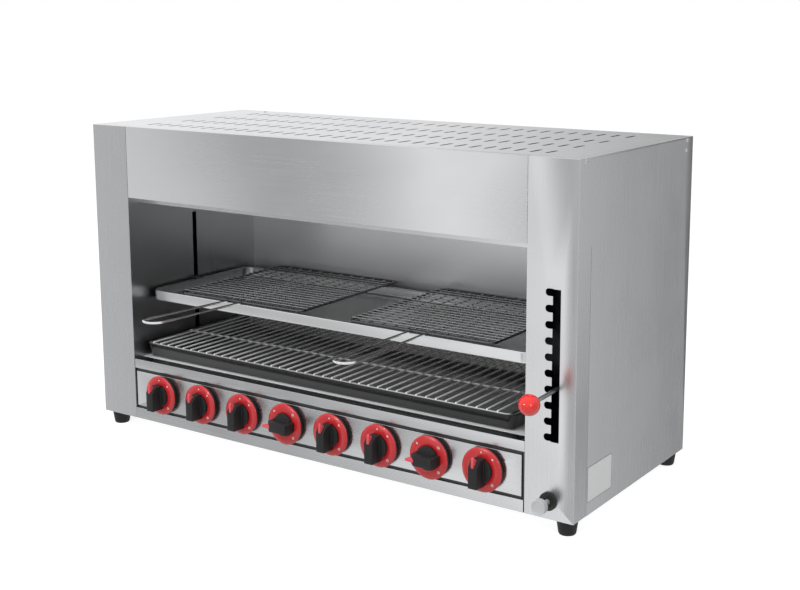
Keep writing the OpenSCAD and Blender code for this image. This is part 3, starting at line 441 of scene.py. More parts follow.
SHEETS = {
    "left_post": (steel_upright, 2.0), "right_post": (steel_upright, 2.0),
    "left_side_panel": (steel_upright, 2.0), "right_side_panel": (steel_upright, 2.0),
    "front_fascia": (steel_across, 1.6), "top_rail": (steel_across, 1.1),
    "bottom_rail": (steel_across, 1.0), "control_panel": (steel_across, 1.0),
}
for name, (finish, bend_out) in SHEETS.items():
    softened(name, finish, bend_out)

# %% [markdown]
# ## Turned parts
# Knobs, rings, feet, buttons and the ball are all turned or moulded round an axis. Such a shape is
# a profile of radius and height swept round it, which is what a lathe does.

# %% Sweep a profile round an axis
def lathe(bm, profile, place, steps=48, closed=False):
    """Sweeps (radius, height) pairs round the local z axis; place is the matrix into the frame."""
    rings = []
    for radius, height in profile:
        count = 1 if radius == 0 else steps
        turns = [2 * math.pi * n / count for n in range(count)]
        circle = [(radius * math.cos(t), radius * math.sin(t), height) for t in turns]
        rings.append([bm.verts.new(place @ Vector(point)) for point in circle])
    pairs = list(zip(rings, rings[1:])) + ([(rings[-1], rings[0])] if closed else [])
    for lower, upper in pairs:
        for n in range(steps):
            corners = [lower[n % len(lower)], lower[(n + 1) % len(lower)],
                       upper[(n + 1) % len(upper)], upper[n % len(upper)]]
            corners = list(dict.fromkeys(corners))
            if len(corners) > 2:
                bm.faces.new(corners)


print("lathe ready")


# %% Make blocks, and place parts on the front
def extruded(bm, outline, low, high, place):
    """A prism from an outline of (second, third) values between two values along the first axis."""
    ends = [[bm.verts.new(place @ Vector((a, b, h))) for b, h in outline] for a in (low, high)]
    bm.faces.new(ends[0])
    bm.faces.new(ends[1])
    count = len(outline)
    for n in range(count):
        m = (n + 1) % count
        bm.faces.new([ends[0][n], ends[0][m], ends[1][m], ends[1][n]])


def rounded(bm, radius, steps=3, angle=30):
    """Rounds every edge sharper than an angle."""
    bmesh.ops.recalc_face_normals(bm, faces=bm.faces)
    edges = [edge for edge in bm.edges
             if len(edge.link_faces) == 2 and edge.calc_face_angle(0) > math.radians(angle)]
    bmesh.ops.bevel(bm, geom=edges, offset=radius, segments=steps, profile=0.5,
                    affect="EDGES", clamp_overlap=True)


OUT_OF_PANEL = Matrix(((1, 0, 0, 0), (0, 0, -1, 0), (0, 1, 0, 0), (0, 0, 0, 1)))


def on_front(x, z, turn=0):
    """Puts a part, drawn as across, up and out, on the front face, turned by degrees."""
    return (Matrix.Translation(spot(x, 0, z)) @ Matrix.Rotation(math.radians(turn), 4, "Y")
            @ OUT_OF_PANEL @ Matrix.Scale(MM, 4))


print("blocks ready")

# %% [markdown]
# ## Knobs
# Each burner has a knob: a black skirt close to the panel, a domed red ring on it, a round hub and
# a grip as wide as a finger. A light red tongue on the grip points at small white marks on the
# ring. The fourth and the seventh knob are turned a quarter to the left. One function draws a knob
# along its own axis, and eight places put it on the panel.

# %% Measure the knob
KNOB_PITCH = 118
KNOB_SHIFT = 1.5
KNOB_Z = sum(corner.z for corner in box_mm("knob_ring_1")) / 2
TURNED = (4, 7)
# Turned shapes, as (radius, height) in mm.
SKIRT = [(0, 0.6), (39, 0.6), (41, 1.6), (41, 7.2), (40.2, 8.6), (22.7, 8.8), (0, 8.8)]
HUB = [(0, 8.8), (22.2, 8.8), (22.2, 13.4), (23.8, 14.0), (23.8, 16.4), (23.2, 17.6),
       (21.8, 18.2), (0, 18.2)]
STEM = [(0, 0.6), (4, 0.6), (4, -54), (0, -54)]
RING = [(22.4, 8.9), (43, 8.9), (43, 9.8), (42.3, 10.8), (40.2, 11.7), (36, 12.6), (31, 13.0),
        (26, 12.7), (23.6, 12.0), (22.4, 11.2)]
# Blocks, as (along the grip, height) in mm, and half their width.
PLINTH = [(-20.5, 15), (-20.5, 21.4), (20.5, 21.4), (20.5, 15)]
PLINTH_HALF = 12.2
GRIP = [(-28, 12.5), (-28, 42), (-27, 43), (13, 43), (14.2, 42.6), (24.2, 32.8), (25, 31.2),
        (25, 12.5)]
GRIP_HALF = 9.5
TONGUE = [(12.5, 42.2), (12.5, 43.9), (17, 44.0), (31, 43.0), (32, 42.2), (32, 40.4), (31, 39.8),
          (18, 38.4), (14, 41.5)]
TONGUE_HALF = 2.7
NECK = [(14, 33.0), (14, 41.2), (22, 40.6), (27.5, 39.9), (29.0, 38.6), (29.0, 36.6), (26, 34.0),
        (22, 31.0)]
NECK_HALF = 3.6
print("knob height", round(KNOB_Z, 1), "mm, pitch", KNOB_PITCH, "mm")

# %% Draw the printed marks
MARK_R, MARK_H = 34.5, 12.75
MARKS = [(0, "dot"), (-45, "flame"), (135, "ring"), (-135, "ring")]
PROUD = 0.25
DOT_R = 1.6
FLAME_OUT, FLAME_IN = 2.9, 1.3
RING_IN, RING_OUT = 1.5, 2.7


def add_mark(bm, kind, place):
    """A printed mark, a little proud: a dot, a four-pointed flame or a small open ring."""
    if kind == "ring":
        band = [(RING_IN, 0), (RING_OUT, 0), (RING_OUT, PROUD), (RING_IN, PROUD)]
        lathe(bm, band, place, 20, closed=True)
        return
    radii = [FLAME_OUT, FLAME_IN] * 4 if kind == "flame" else [DOT_R] * 16
    points = len(radii)
    rims = []
    for height in (0, PROUD):
        rim = [(r * math.sin(2 * math.pi * n / points), r * math.cos(2 * math.pi * n / points), height)
               for n, r in enumerate(radii)]
        rims.append([bm.verts.new(place @ Vector(point)) for point in rim])
        bm.faces.new(rims[-1])
    for n in range(points):
        m = (n + 1) % points
        bm.faces.new([rims[0][n], rims[0][m], rims[1][m], rims[1][n]])


print("marks on a ring", len(MARKS))


# %% Add rounded blocks
def add_block(bm, outline, half, radius, place, steps=3):
    """Adds a block of an outline, half as wide to each side, with edges of a radius in mm."""
    block = bmesh.new()
    extruded(block, outline, -half, half, place)
    rounded(block, radius * MM, steps)
    part = bpy.data.meshes.new("part")
    block.to_mesh(part)
    block.free()
    bm.from_mesh(part)
    bpy.data.meshes.remove(part)


print("rounded blocks ready")


# %% Make the eight knobs
def make_knob(k):
    """One knob with its grip, ring, tongue and marks, on body knob_k."""
    body = "knob_%d" % k
    place = on_front((k - 4.5) * KNOB_PITCH + KNOB_SHIFT, KNOB_Z, -90 if k in TURNED else 0)
    black = bmesh.new()
    for profile, steps in ((SKIRT, 64), (HUB, 48), (STEM, 24)):
        lathe(black, profile, place, steps)
    add_block(black, PLINTH, PLINTH_HALF, 0.5, place)
    add_block(black, GRIP, GRIP_HALF, 0.9, place)
    finished(body + "_grip", black, body, "knob_plastic", body, smooth=40)
    red = bmesh.new()
    lathe(red, RING, place, 96, closed=True)
    finished(body + "_red_ring", red, body, "ring_plastic", "knob_ring_%d" % k, smooth=45)
    tongue = bmesh.new()
    add_block(tongue, TONGUE, TONGUE_HALF, 0.6, place, 2)
    add_block(tongue, NECK, NECK_HALF, 0.6, place, 2)
    finished(body + "_tongue", tongue, body, "ring_plastic", finish=tongue_red)
    marks = bmesh.new()
    for angle, kind in MARKS:
        turn = Matrix.Rotation(math.radians(angle), 4, "Z")
        add_mark(marks, kind, place @ turn @ Matrix.Translation((0, MARK_R, MARK_H)))
    finished(body + "_marks", marks, body, "ring_plastic", finish=mark_white)


for k in range(1, 9):
    make_knob(k)

# %% [markdown]
# ## Ball, button, collar and feet
# The lever ends in a red ball with a short metal seat. The igniter is a silver cap with a slim rim
# in a black collar. The feet are moulded rubber, narrower below and rounded where they meet the
# counter. All of them are turned shapes, and the feet share one prototype that a Geometry Nodes
# tree puts on four points further down.

# %% Make the ball and its seat
BALL_R = 19
ROD_R = 4.02
LEVER_PIVOT = (562, 200, 248.6)
ball_low, ball_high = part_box("lever_ball")
ball_middle = (ball_low + ball_high) / 2
rod_way = (spot(*LEVER_PIVOT) - ball_middle).normalized()
ball_place = (Matrix.Translation(ball_middle) @ rod_way.to_track_quat("Z", "Y").to_matrix().to_4x4()
              @ Matrix.Scale(MM, 4))
arc = [math.radians(angle) for angle in range(24, 180, 6)]
ROUND = [(BALL_R * math.sin(t), BALL_R * math.cos(t)) for t in arc]
BALL = [(ROD_R, 16.0), (ROD_R, 17.6), (7.4, 17.6)] + ROUND + [(0, -BALL_R)]
SEAT = [(ROD_R, 17.0), (6.2, 17.0), (6.2, 19.4), (5.6, 20.2), (ROD_R, 20.2)]
ball = bmesh.new()
lathe(ball, BALL, ball_place, 64)
finished("lever_ball_turned", ball, "lever", "ball_plastic", "lever_ball")
seat = bmesh.new()
lathe(seat, SEAT, ball_place, 32, closed=True)
finished("lever_ball_seat", seat, "lever", "dark_steel")

# %% Make the igniter
IGNITER_X = 549
IGNITER_Z = 34
button_place = on_front(IGNITER_X, IGNITER_Z)
stem_end = -box_mm("igniter_button")[1].y
neck_end = -box_mm("igniter_collar")[1].y
CAP = [(0, 37.9), (10.4, 37.9), (11.2, 38.7), (12.0, 39.0), (13.1, 39.0), (14, 38.2), (14, 27.6),
       (13.4, 27), (5, 27), (5, stem_end), (0, stem_end)]
COLLAR = [(5.6, neck_end), (8, neck_end), (8, 0), (17, 0), (17, 4.4), (16.4, 5.5), (15, 6),
          (9.5, 6), (8.4, 4.6), (5.6, 4.6)]
button = bmesh.new()
lathe(button, CAP, button_place, 48)
finished("igniter_cap", button, "igniter_button", SLOT_OF["igniter_button"], "igniter_button",
         finish=cap_silver)
collar = bmesh.new()
lathe(collar, COLLAR, button_place, 48, closed=True)
finished("igniter_collar_turned", collar, "casing", SLOT_OF["igniter_collar"], "igniter_collar",
         finish=part_black)

# %% [markdown]
# ## Trees that repeat a piece
# Feet and screws are one shape put in many places. The tree below takes a prototype and a mesh of
# points, turns the prototype so that it faces the way each point says, makes the copies real and
# gives them their finish. The second tree lays straight wires side by side, and the third bends one
# wire along a line with round corners.

# %% Start and end a tree
def new_tree(name, sockets):
    """A Geometry Nodes tree with named inputs; each socket is a name, a type and a starting value."""
    tree = bpy.data.node_groups.new(name, "GeometryNodeTree")
    tree.interface.new_socket("Geometry", in_out="INPUT", socket_type="NodeSocketGeometry")
    for label, kind, value in sockets:
        item = tree.interface.new_socket(label, in_out="INPUT", socket_type="NodeSocket" + kind)
        if value is not None:
            item.default_value = value
    tree.interface.new_socket("Geometry", in_out="OUTPUT", socket_type="NodeSocketGeometry")
    return tree, add(tree, "NodeGroupInput").outputs


def close_tree(tree, geometry, material):
    """Ends a tree in Realize Instances and Set Material."""
    real = add(tree, "GeometryNodeRealizeInstances", {"Geometry": geometry})
    painted = add(tree, "GeometryNodeSetMaterial", {"Geometry": real.outputs[0], "Material": material})
    add(tree, "NodeGroupOutput", {"Geometry": painted.outputs[0]})
    return tree


print("tree helpers ready")


# %% Build the tree of copies
def tree_of_copies():
    """Prototype on points, turned to the facing attribute."""
    tree, given = new_tree("copies_on_points", [("Prototype", "Object", None),
                                                ("Material", "Material", None)])
    facing = add(tree, "GeometryNodeInputNamedAttribute", {"Name": "facing"},
                 data_type="FLOAT_VECTOR")
    turned = add(tree, "FunctionNodeAlignRotationToVector", {"Vector": facing.outputs[0]}, axis="Z")
    shape = add(tree, "GeometryNodeObjectInfo", {"Object": given["Prototype"]})
    copies = add(tree, "GeometryNodeInstanceOnPoints",
                 {"Points": given["Geometry"], "Rotation": turned.outputs[0],
                  "Instance": shape.outputs["Geometry"]})
    return close_tree(tree, copies.outputs[0], given["Material"])


copies_tree = tree_of_copies()
print(copies_tree.name, "nodes", len(copies_tree.nodes))


# %% Build the trees of wires
def round_wire(tree, given, path):
    """Gives a path of a tree the given Radius and number of Sides."""
    ring = add(tree, "GeometryNodeCurvePrimitiveCircle",
               {"Resolution": given["Sides"], "Radius": given["Radius"]})
    return add(tree, "GeometryNodeCurveToMesh",
               {"Curve": path, "Profile Curve": ring.outputs[0], "Fill Caps": True})


def tree_of_wires():
    """Count straight wires from Start to End, each moved on by Step."""
    tree, given = new_tree("row_of_wires", [
        ("Start", "Vector", None), ("End", "Vector", None), ("Step", "Vector", None),
        ("Count", "Int", 2), ("Radius", "Float", 0.001), ("Sides", "Int", 12),
        ("Material", "Material", None)])
    line = add(tree, "GeometryNodeCurvePrimitiveLine", {"Start": given["Start"], "End": given["End"]})
    wire = round_wire(tree, given, line.outputs[0])
    row = add(tree, "GeometryNodeMeshLine", {"Count": given["Count"], "Offset": given["Step"]},
              mode="OFFSET")
    copies = add(tree, "GeometryNodeInstanceOnPoints",
                 {"Points": row.outputs[0], "Instance": wire.outputs[0]})
    return close_tree(tree, copies.outputs[0], given["Material"])


def tree_of_bends():
    """A wire along the edges of the given mesh, with its corners bent to a radius."""
    tree, given = new_tree("bent_wire", [
        ("Bend", "Float", 0.012), ("Steps", "Int", 8), ("Radius", "Float", 0.0025),
        ("Sides", "Int", 12), ("Material", "Material", None)])
    path = add(tree, "GeometryNodeMeshToCurve", {"Mesh": given["Geometry"]})
    bent = add(tree, "GeometryNodeFilletCurve",
               {"Curve": path.outputs[0], "Count": given["Steps"], "Radius": given["Bend"],
                "Limit Radius": True}, mode="POLY")
    wire = round_wire(tree, given, bent.outputs[0])
    return close_tree(tree, wire.outputs[0], given["Material"])


wires_tree, bends_tree = tree_of_wires(), tree_of_bends()
print("trees", len(bpy.data.node_groups))


# %% Run a tree
def grown(tree, source, inputs):
    """Runs a tree on a source mesh and gives the plain mesh that it makes."""
    holder = bpy.data.objects.new("source", source)
    scene.collection.objects.link(holder)
    modifier = holder.modifiers.new("grow", "NODES")
    modifier.node_group = tree
    for item in tree.interface.items_tree:
        if item.item_type == "SOCKET" and item.in_out == "INPUT" and item.name in inputs:
            modifier[item.identifier] = inputs[item.name]
    made = bpy.data.meshes.new_from_object(holder.evaluated_get(bpy.context.evaluated_depsgraph_get()))
    bpy.data.objects.remove(holder)
    return made


print("trees can run")

# %% [markdown]
# ## Feet and screws
# The screws are small pan heads with a cross recess, and their nuts sit behind the sheet. The
# recess is cut by a boolean, which is quick on one small prototype and then comes along with every
# copy.

# %% Draw a prototype and copy it
def prototype(name, draw, recess=None):
    """A hidden object to copy, drawn in mm along its own z axis."""
    bm = bmesh.new()
    draw(bm)
    bmesh.ops.recalc_face_normals(bm, faces=bm.faces)
    mesh = bpy.data.meshes.new(name)
    bm.to_mesh(mesh)
    bm.free()
    shape = bpy.data.objects.new(name, mesh)
    scene.collection.objects.link(shape)
    if recess:
        cut = shape.modifiers.new("recess", "BOOLEAN")
        cut.object = recess
        cut.operation = "DIFFERENCE"
        cut_shape = shape.evaluated_get(bpy.context.evaluated_depsgraph_get())
        shape.data = bpy.data.meshes.new_from_object(cut_shape)
        shape.modifiers.clear()
    return shape


def copied(name, shape, places, finish, slot_name, *nodes):
    """Copies of a prototype at (place, facing) pairs, as one piece on the casing."""
    points = bpy.data.meshes.new(name)
    points.from_pydata([tuple(place) for place, facing in places], [], [])
    facings = points.attributes.new("facing", "FLOAT_VECTOR", "POINT")
    for n, (place, facing) in enumerate(places):
        facings.data[n].vector = facing
    mesh = grown(copies_tree, points, {"Prototype": shape, "Material": finish})
    bm = bmesh.new()
    bm.from_mesh(mesh)
    bpy.data.objects.remove(shape)
    finished(name, bm, "casing", slot_name, *nodes, finish=finish)


SMALL = Matrix.Scale(MM, 4)
print("prototypes ready")

# %% Put the feet on their points
FOOT_H = 30
FOOT = [(0, 0), (13.0, 0), (15.0, 0.7), (16.2, 2.6), (16.8, 5.0), (20.4, 28.6), (20.5, FOOT_H),
        (0, FOOT_H)]
foot_shape = prototype("foot", lambda bm: lathe(bm, FOOT, SMALL, 40))
feet = [(spot(x, y, -FOOT_H), (0, 0, 1)) for x in (-574.5, 574.5) for y in (25.5, 459.5)]
copied("rubber_feet", foot_shape, feet, foot_black, "foot_rubber", "feet")

# %% Put the screws on their points
BLADE_LONG, BLADE_THIN = 1.9, 0.5
BLADE_LOW, BLADE_HIGH = 1.1, 3.0


def draw_cross(bm):
    """Two crossed blades that cut the recess of a screw."""
    for half_x, half_y in ((BLADE_LONG, BLADE_THIN), (BLADE_THIN, BLADE_LONG)):
        blade = [(-half_y, BLADE_LOW), (-half_y, BLADE_HIGH), (half_y, BLADE_HIGH), (half_y, BLADE_LOW)]
        extruded(bm, blade, -half_x, half_x, SMALL)


def screw_profile(grip):
    """Head, shank and nut of a screw that holds sheets of a thickness of grip."""
    head = [(0, 2.2), (1.6, 2.1), (2.8, 1.6), (3.5, 0.8), (3.75, 0), (1.8, 0)]
    nut = [(1.8, -grip), (3.7, -grip), (3.7, -grip - 3), (1.8, -grip - 3)]
    return head + nut + [(1.8, -grip - 4), (0, -grip - 4)]


TOP_SCREWS = [(spot(x, y, 652), (0, 0, 1)) for x, y in ((-508, 465), (488, 470))]
SIDE_SCREWS = [(spot(600 * side, y, z), (side, 0, 0)) for side in (-1, 1)
               for y, z in ((22, 646), (457, 646), (453, 626))]
BACK_SCREWS = [(spot(x, 485, z), (0, 1, 0)) for x in (-560, 0, 560) for z in (25, 326, 615)
               if (x, z) != (0, 326)]
for name, grip, places in (("top_screws", 2.4, TOP_SCREWS),
                           ("side_screws", 1.2, SIDE_SCREWS + BACK_SCREWS)):
    cross = prototype("cross", draw_cross)
    screw = prototype("screw", lambda bm: lathe(bm, screw_profile(grip), SMALL, 24), cross)
    bpy.data.objects.remove(cross)
    copied(name, screw, places, zinc, SLOT_OF["casing_screws"], "casing_screws")

# %% [markdown]
# ## Racks and their handles
# Each upper rack is a round-cornered frame of 5 mm wire with fine wires welded across it and
# slimmer ones below. Its handle is one long loop whose legs run under the fine wires. Wires are
# rows and bends, so the trees make them, and every row is joined into one piece for each rack.

# %% Make wires into a piece
NOTHING = bpy.data.meshes.new("nothing")


def wire_row(bm, start, end, step, count, radius):
    """Adds a row of straight wires between two places."""
    sizes = {"Start": start, "End": end, "Step": step, "Count": count, "Radius": radius * MM,
             "Sides": 12, "Material": chrome}
    bm.from_mesh(grown(wires_tree, NOTHING, sizes))


def wire_path(bm, places, radius, bend, ring=False, steps=8):
    """Adds one wire through places, with its corners bent."""
    line = bpy.data.meshes.new("line")
    count = len(places)
    links = [(n, n + 1) for n in range(count - 1)] + ([(count - 1, 0)] if ring else [])
    line.from_pydata([tuple(p) for p in places], links, [])
    sizes = {"Bend": bend * MM, "Steps": steps, "Radius": radius * MM, "Sides": 14,
             "Material": chrome}
    bm.from_mesh(grown(bends_tree, line, sizes))


print("wire helpers ready")

# %% [markdown]
# ## The two upper racks
# Both racks have the same sizes, but they were put down by hand, so each lies a little turned, and
# each handle leans its own way. The sizes come first, and one function then makes a rack with its
# handle.

# %% Measure the upper racks
RACK_HALF = 167.5
RACK_D = 347
FRAME_R = 2.5
RACK_BEND = 14
FINE_PITCH, FINE_R, FINE_Z, FINE_COUNT = 17.8, 1.25, 3.35, 18
CROSS_PITCH, CROSS_R, CROSS_Z = 30.3, 1.5, 1.0
RACK_FRONT, RACK_Z = 50, 289.8
FINE_PAST, CROSS_INSIDE = 3, 8
HANDLE_R, HANDLE_HALF, HANDLE_REACH = 2.3, 18, 245.95
HANDLE_SPREAD = math.radians(1.4)
HANDLE_SHORT = 0.5
FOLD_Y, LEG_END = -10, 240
print("fine wires on a rack", FINE_COUNT)


# %% Bend a handle
def rack_point(x, back, turn):
    """Gives a function that puts a rack's own mm into the frame."""
    turned = Matrix.Rotation(math.radians(turn), 4, "Z")
    place = Matrix.Translation(spot(x, RACK_FRONT + back, RACK_Z)) @ turned
    return lambda a, b, c: place @ Vector((a * MM, b * MM, c * MM))


def add_handle(at, body, shift, rise, lean):
    """The handle's one loop of wire: two legs under the rack that spread on the way to the hand."""
    leg = (HANDLE_REACH + FOLD_Y - HANDLE_HALF - HANDLE_R) / math.cos(HANDLE_SPREAD)
    wide = HANDLE_HALF + leg * math.sin(HANDLE_SPREAD)
    out = leg * math.cos(HANDLE_SPREAD) - HANDLE_SHORT + wide
    turn, tip_up = math.radians(lean), math.radians(-rise)
    tilt = Matrix.Rotation(turn, 3, "Z") @ Matrix.Rotation(tip_up, 3, "X")
    leg_z = HANDLE_R - FRAME_R
    loop = [(shift - HANDLE_HALF, LEG_END, leg_z), (shift - HANDLE_HALF, FOLD_Y, leg_z)]
    for tip in ((-wide, -out, 0), (wide, -out, 0)):
        loop.append(tuple(tilt @ Vector(tip) + Vector((shift, FOLD_Y, leg_z))))
    loop += [(shift + HANDLE_HALF, FOLD_Y, leg_z), (shift + HANDLE_HALF, LEG_END, leg_z)]
    bm = bmesh.new()
    wire_path(bm, [at(*p) for p in loop], HANDLE_R, wide - 0.05, steps=12)
    finished(body + "_handle_loop", bm, body, "chrome_wire", body + "_handle")


print("handles reach", HANDLE_REACH, "mm")


# %% Make both upper racks
def make_rack(side, x, back, turn, shift, rise, lean):
    """A rack on body left_rack or right_rack.

    It lies x across and back from its place, turned by degrees. Shift moves the handle and the
    cross wires sideways, rise tips the handle up and lean turns it, both in degrees.
    """
    at = rack_point(x, back, turn)
    body = side + "_rack"
    far = RACK_D - FRAME_R
    bm = bmesh.new()
    corners = [(-RACK_HALF, FRAME_R), (RACK_HALF, FRAME_R), (RACK_HALF, far), (-RACK_HALF, far)]
    wire_path(bm, [at(a, b, 0) for a, b in corners], FRAME_R, RACK_BEND, ring=True)
    # The frame takes the darker wire, which is painted shade.
    finished(body + "_frame", bm, body, "chrome_wire", finish=frame_wire_painted_dark)
    bm = bmesh.new()
    end = RACK_HALF + FINE_PAST
    step = at(0, FINE_PITCH, 0) - at(0, 0, 0)
    wire_row(bm, at(-end, FINE_PITCH, FINE_Z), at(end, FINE_PITCH, FINE_Z), step, FINE_COUNT, FINE_R)
    reach = [n for n in range(-6, 7) if abs(shift + n * CROSS_PITCH) < RACK_HALF - CROSS_INSIDE]
    first = shift + reach[0] * CROSS_PITCH
    step = at(CROSS_PITCH, 0, 0) - at(0, 0, 0)
    wire_row(bm, at(first, FRAME_R, CROSS_Z), at(first, far, CROSS_Z), step, len(reach), CROSS_R)
    finished(body + "_wires", bm, body, "chrome_wire", body, finish=nickel)
    add_handle(at, body, shift, rise, lean)


make_rack("left", x=-229, back=0, turn=1.3, shift=-11.5, rise=1.0, lean=-2.5)
make_rack("right", x=232, back=1, turn=0.7, shift=0.5, rise=-0.8, lean=-1.0)

# %% [markdown]
# ## Lower rack
# The lower rack is as wide as the tray. Forty wires run from front to back over its frame and end a
# little past the front bar, where they show as a row of bright ticks. One bar runs across below
# them and stiffens them.

# %% Make the lower rack
LOW_X0, LOW_X1, LOW_Y0, LOW_Y1 = -483.3, 452, 28, 372
LOW_FRAME_R, LOW_R, LOW_PITCH, LOW_FIRST, LOW_COUNT = 1.7, 1.9, 22.8, 21.1, 40
LOW_BEND = 12
LOW_Z = 168.2 + LOW_FRAME_R
LOW_WIRE_Z = LOW_Z + LOW_FRAME_R + 1.5
PAST_FRONT, PAST_REAR = 4.2, 2
BAR_Y, BAR_R, BAR_BELOW = 160, 2.0, 3.6
rack = bmesh.new()
corners = [(LOW_X0, LOW_Y0), (LOW_X1, LOW_Y0), (LOW_X1, LOW_Y1), (LOW_X0, LOW_Y1)]
wire_path(rack, [spot(a, b, LOW_Z) for a, b in corners], LOW_FRAME_R, LOW_BEND, ring=True)
finished("lower_rack_frame", rack, "lower_rack", "chrome_wire", finish=nickel)
rack = bmesh.new()
first = LOW_X0 + LOW_FIRST
start = spot(first, LOW_Y0 - PAST_FRONT, LOW_WIRE_Z)
end = spot(first, LOW_Y1 + PAST_REAR, LOW_WIRE_Z)
wire_row(rack, start, end, Vector((LOW_PITCH * MM, 0, 0)), LOW_COUNT, LOW_R)
bar_z = LOW_WIRE_Z - BAR_BELOW
wire_row(rack, spot(LOW_X0, BAR_Y, bar_z), spot(LOW_X1, BAR_Y, bar_z), Vector((0, 0, 0)), 1, BAR_R)
# The lower rack's wires take the tinned finish, whose lifted colour is painted light.
finished("lower_rack_wires", rack, "lower_rack", "chrome_wire", "lower_rack", finish=tinned)

# %% [markdown]
# ## Pan and drip tray
# Both are pressed from sheet, so every corner and every fold is round. Each is a stack of
# round-cornered outlines, from the bottom up the outside, over the rim and down the inside to the
# floor. That keeps the sheet's thickness everywhere and closes the shape. The tray's upward inside
# faces then get a lighter, partly metal enamel, which is painted light.

# %% Loft between outlines
def outline(x0, x1, y0, y1, inset, corner, z, steps=8):
    """A round-cornered outline at one height, in mm, inset from the given sides."""
    corner = max(corner - inset, 2)
    left, right = x0 + inset + corner, x1 - inset - corner
    near, far = y0 + inset + corner, y1 - inset - corner
    places = []
    for cx, cy, start in ((right, far, 0), (left, far, 90), (left, near, 180), (right, near, 270)):
        for n in range(steps + 1):
            angle = math.radians(start + 90 * n / steps)
            places.append(spot(cx + corner * math.cos(angle), cy + corner * math.sin(angle), z))
    return places


def lofted(name, sides, corner, profile, body, slot_name, node):
    """Joins outlines at (inset, z) steps and closes both ends."""
    bm = bmesh.new()
    rings = [[bm.verts.new(p) for p in outline(*sides, inset, corner, z)] for inset, z in profile]
    for lower, upper in zip(rings, rings[1:]):
        for n in range(len(lower)):
            m = (n + 1) % len(lower)
            bm.faces.new([lower[n], lower[m], upper[m], upper[n]])
    bm.faces.new(rings[0])
    bm.faces.new(rings[-1])
    return finished(name, bm, body, slot_name, node, smooth=50)


print("lofts ready")

# %% Press the pan and the drip tray
# Both profiles are (inset from the sides, height), in mm.
PAN = [(3.2, 264.0), (1.6, 264.5), (0.5, 265.6), (0, 267.2), (0, 284.4), (0.7, 286.2), (2.4, 287.0),
       (10.4, 287.0), (11.0, 286.6), (11.0, 285.9), (2.6, 285.8), (1.5, 285.0), (1.2, 284.0),
       (1.2, 267.4), (1.9, 265.8), (3.4, 265.2)]
TRAY = [(14.0, 136.2), (11.0, 136.6), (8.8, 137.8), (7.4, 140.0), (1.2, 164.4), (0.1, 165.6),
        (0, 166.6), (0.2, 167.6), (0.8, 168.0), (1.6, 167.6), (2.2, 166.0), (8.6, 140.6),
        (9.8, 138.8), (11.6, 137.8), (14.2, 137.4)]
TRAY_RIM_Z = 166.5
UPWARD = 0.1
lofted("upper_pan_pressed", (-486.5, 486.5, 44, 363), 25, PAN, "carriage", "pan_steel", "upper_pan")
tray = lofted("drip_tray_pressed", (-496, 460, 29, 374), 20, TRAY, "drip_tray", "tray_enamel",
              "drip_tray")
tray.data.materials.append(enamel_inside_painted_light)
# The upward faces inside the tray take the lighter enamel, painted light.
for face in tray.data.polygons:
    if face.normal.z > UPWARD and face.center.z < spot(0, 0, TRAY_RIM_Z).z:
        face.material_index = 1

# %% [markdown]
# ## Data plate
# A small white plate is stuck to the right side near the bottom. It is left blank, with a thin grey
# border.

# %% Make the blank plate
PLATE_Y, PLATE_Z = (51, 148), (24, 91)
PLATE_CORNER = 2


def plate(name, inset, proud, finish):
    """A thin plate on the right side, inset from the outside edge and standing proud by mm."""
    low = spot(600, PLATE_Y[0] + inset, PLATE_Z[0] + inset)
    high = spot(600, PLATE_Y[1] - inset, PLATE_Z[1] - inset)
    bm = bmesh.new()
    bmesh.ops.create_cube(bm, size=1.0)
    middle = (low + high) / 2
    for v in bm.verts:
        v.co = Vector((low.x + (0.5 + v.co.x) * proud * MM, middle.y + v.co.y * (high.y - low.y),
                       middle.z + v.co.z * (high.z - low.z)))
    through = [e for e in bm.edges if abs(e.verts[0].co.x - e.verts[1].co.x) > proud * MM / 2]
    bmesh.ops.bevel(bm, geom=through, offset=PLATE_CORNER * MM, segments=4, profile=0.5,
                    affect="EDGES")
    finished(name, bm, "casing", "brushed_sheet", finish=finish)


plate("data_plate_border", 0, 0.2, plate_grey)
plate("data_plate_blank", 1.2, 0.3, plate_white)

# %% [markdown]
# ## Studio
# Polished sheet shows nothing but its surroundings, so the room matters more here than the lamps.
# The world is white for the camera. Metal sees a plain room instead, whose brightness changes with
# the heading, as walls, windows and dark corners would make it, and which is even above and below.
# A ramp lists that brightness round the circle.

# %% Light the world by heading
# Heading in degrees, 0 in front of the casing and 90 to its right, and the brightness there.
ROOM = [(-180, 0.80), (-158, 0.36), (-146, 0.95), (-131, 1.15), (-90, 1.0), (-56, 0.95), (-50, 0.85),
        (-47, 0.40), (-42, 0.38), (-38, 0.46), (-34, 0.60), (-31, 1.05), (-28, 1.60), (-25, 1.60),
        (-21, 1.20), (-16, 0.42), (-8, 0.42), (0, 0.9), (60, 0.75), (120, 0.65), (146, 1.25),
        (151, 0.72), (156, 0.22), (160, 0.08), (172, 0.08), (180, 0.80)]
# A ramp's colours stop at 1, so it holds each brightness divided by this.
RAMP_TOP = 2.0
ABOVE_BELOW_LEVEL = 1.05
DIFFUSE_LEVEL = 0.55
world = bpy.data.worlds.new("studio")
scene.world = world
world.use_nodes = True
sky = world.node_tree
sky.nodes.clear()
generated = add(sky, "ShaderNodeTexCoord").outputs["Generated"]
way = add(sky, "ShaderNodeSeparateXYZ", {0: generated}).outputs
front_way = add(sky, "ShaderNodeMath", {0: way["Y"], 1: -1.0}, operation="MULTIPLY")
heading = add(sky, "ShaderNodeMath", {0: way["X"], 1: front_way.outputs[0]}, operation="ARCTAN2")
share = add(sky, "ShaderNodeMapRange",
            {"Value": heading.outputs[0], "From Min": -math.pi, "From Max": math.pi})
ramp = add(sky, "ShaderNodeValToRGB", {"Fac": share.outputs[0]})
while len(ramp.color_ramp.elements) < len(ROOM):
    ramp.color_ramp.elements.new(0.5)
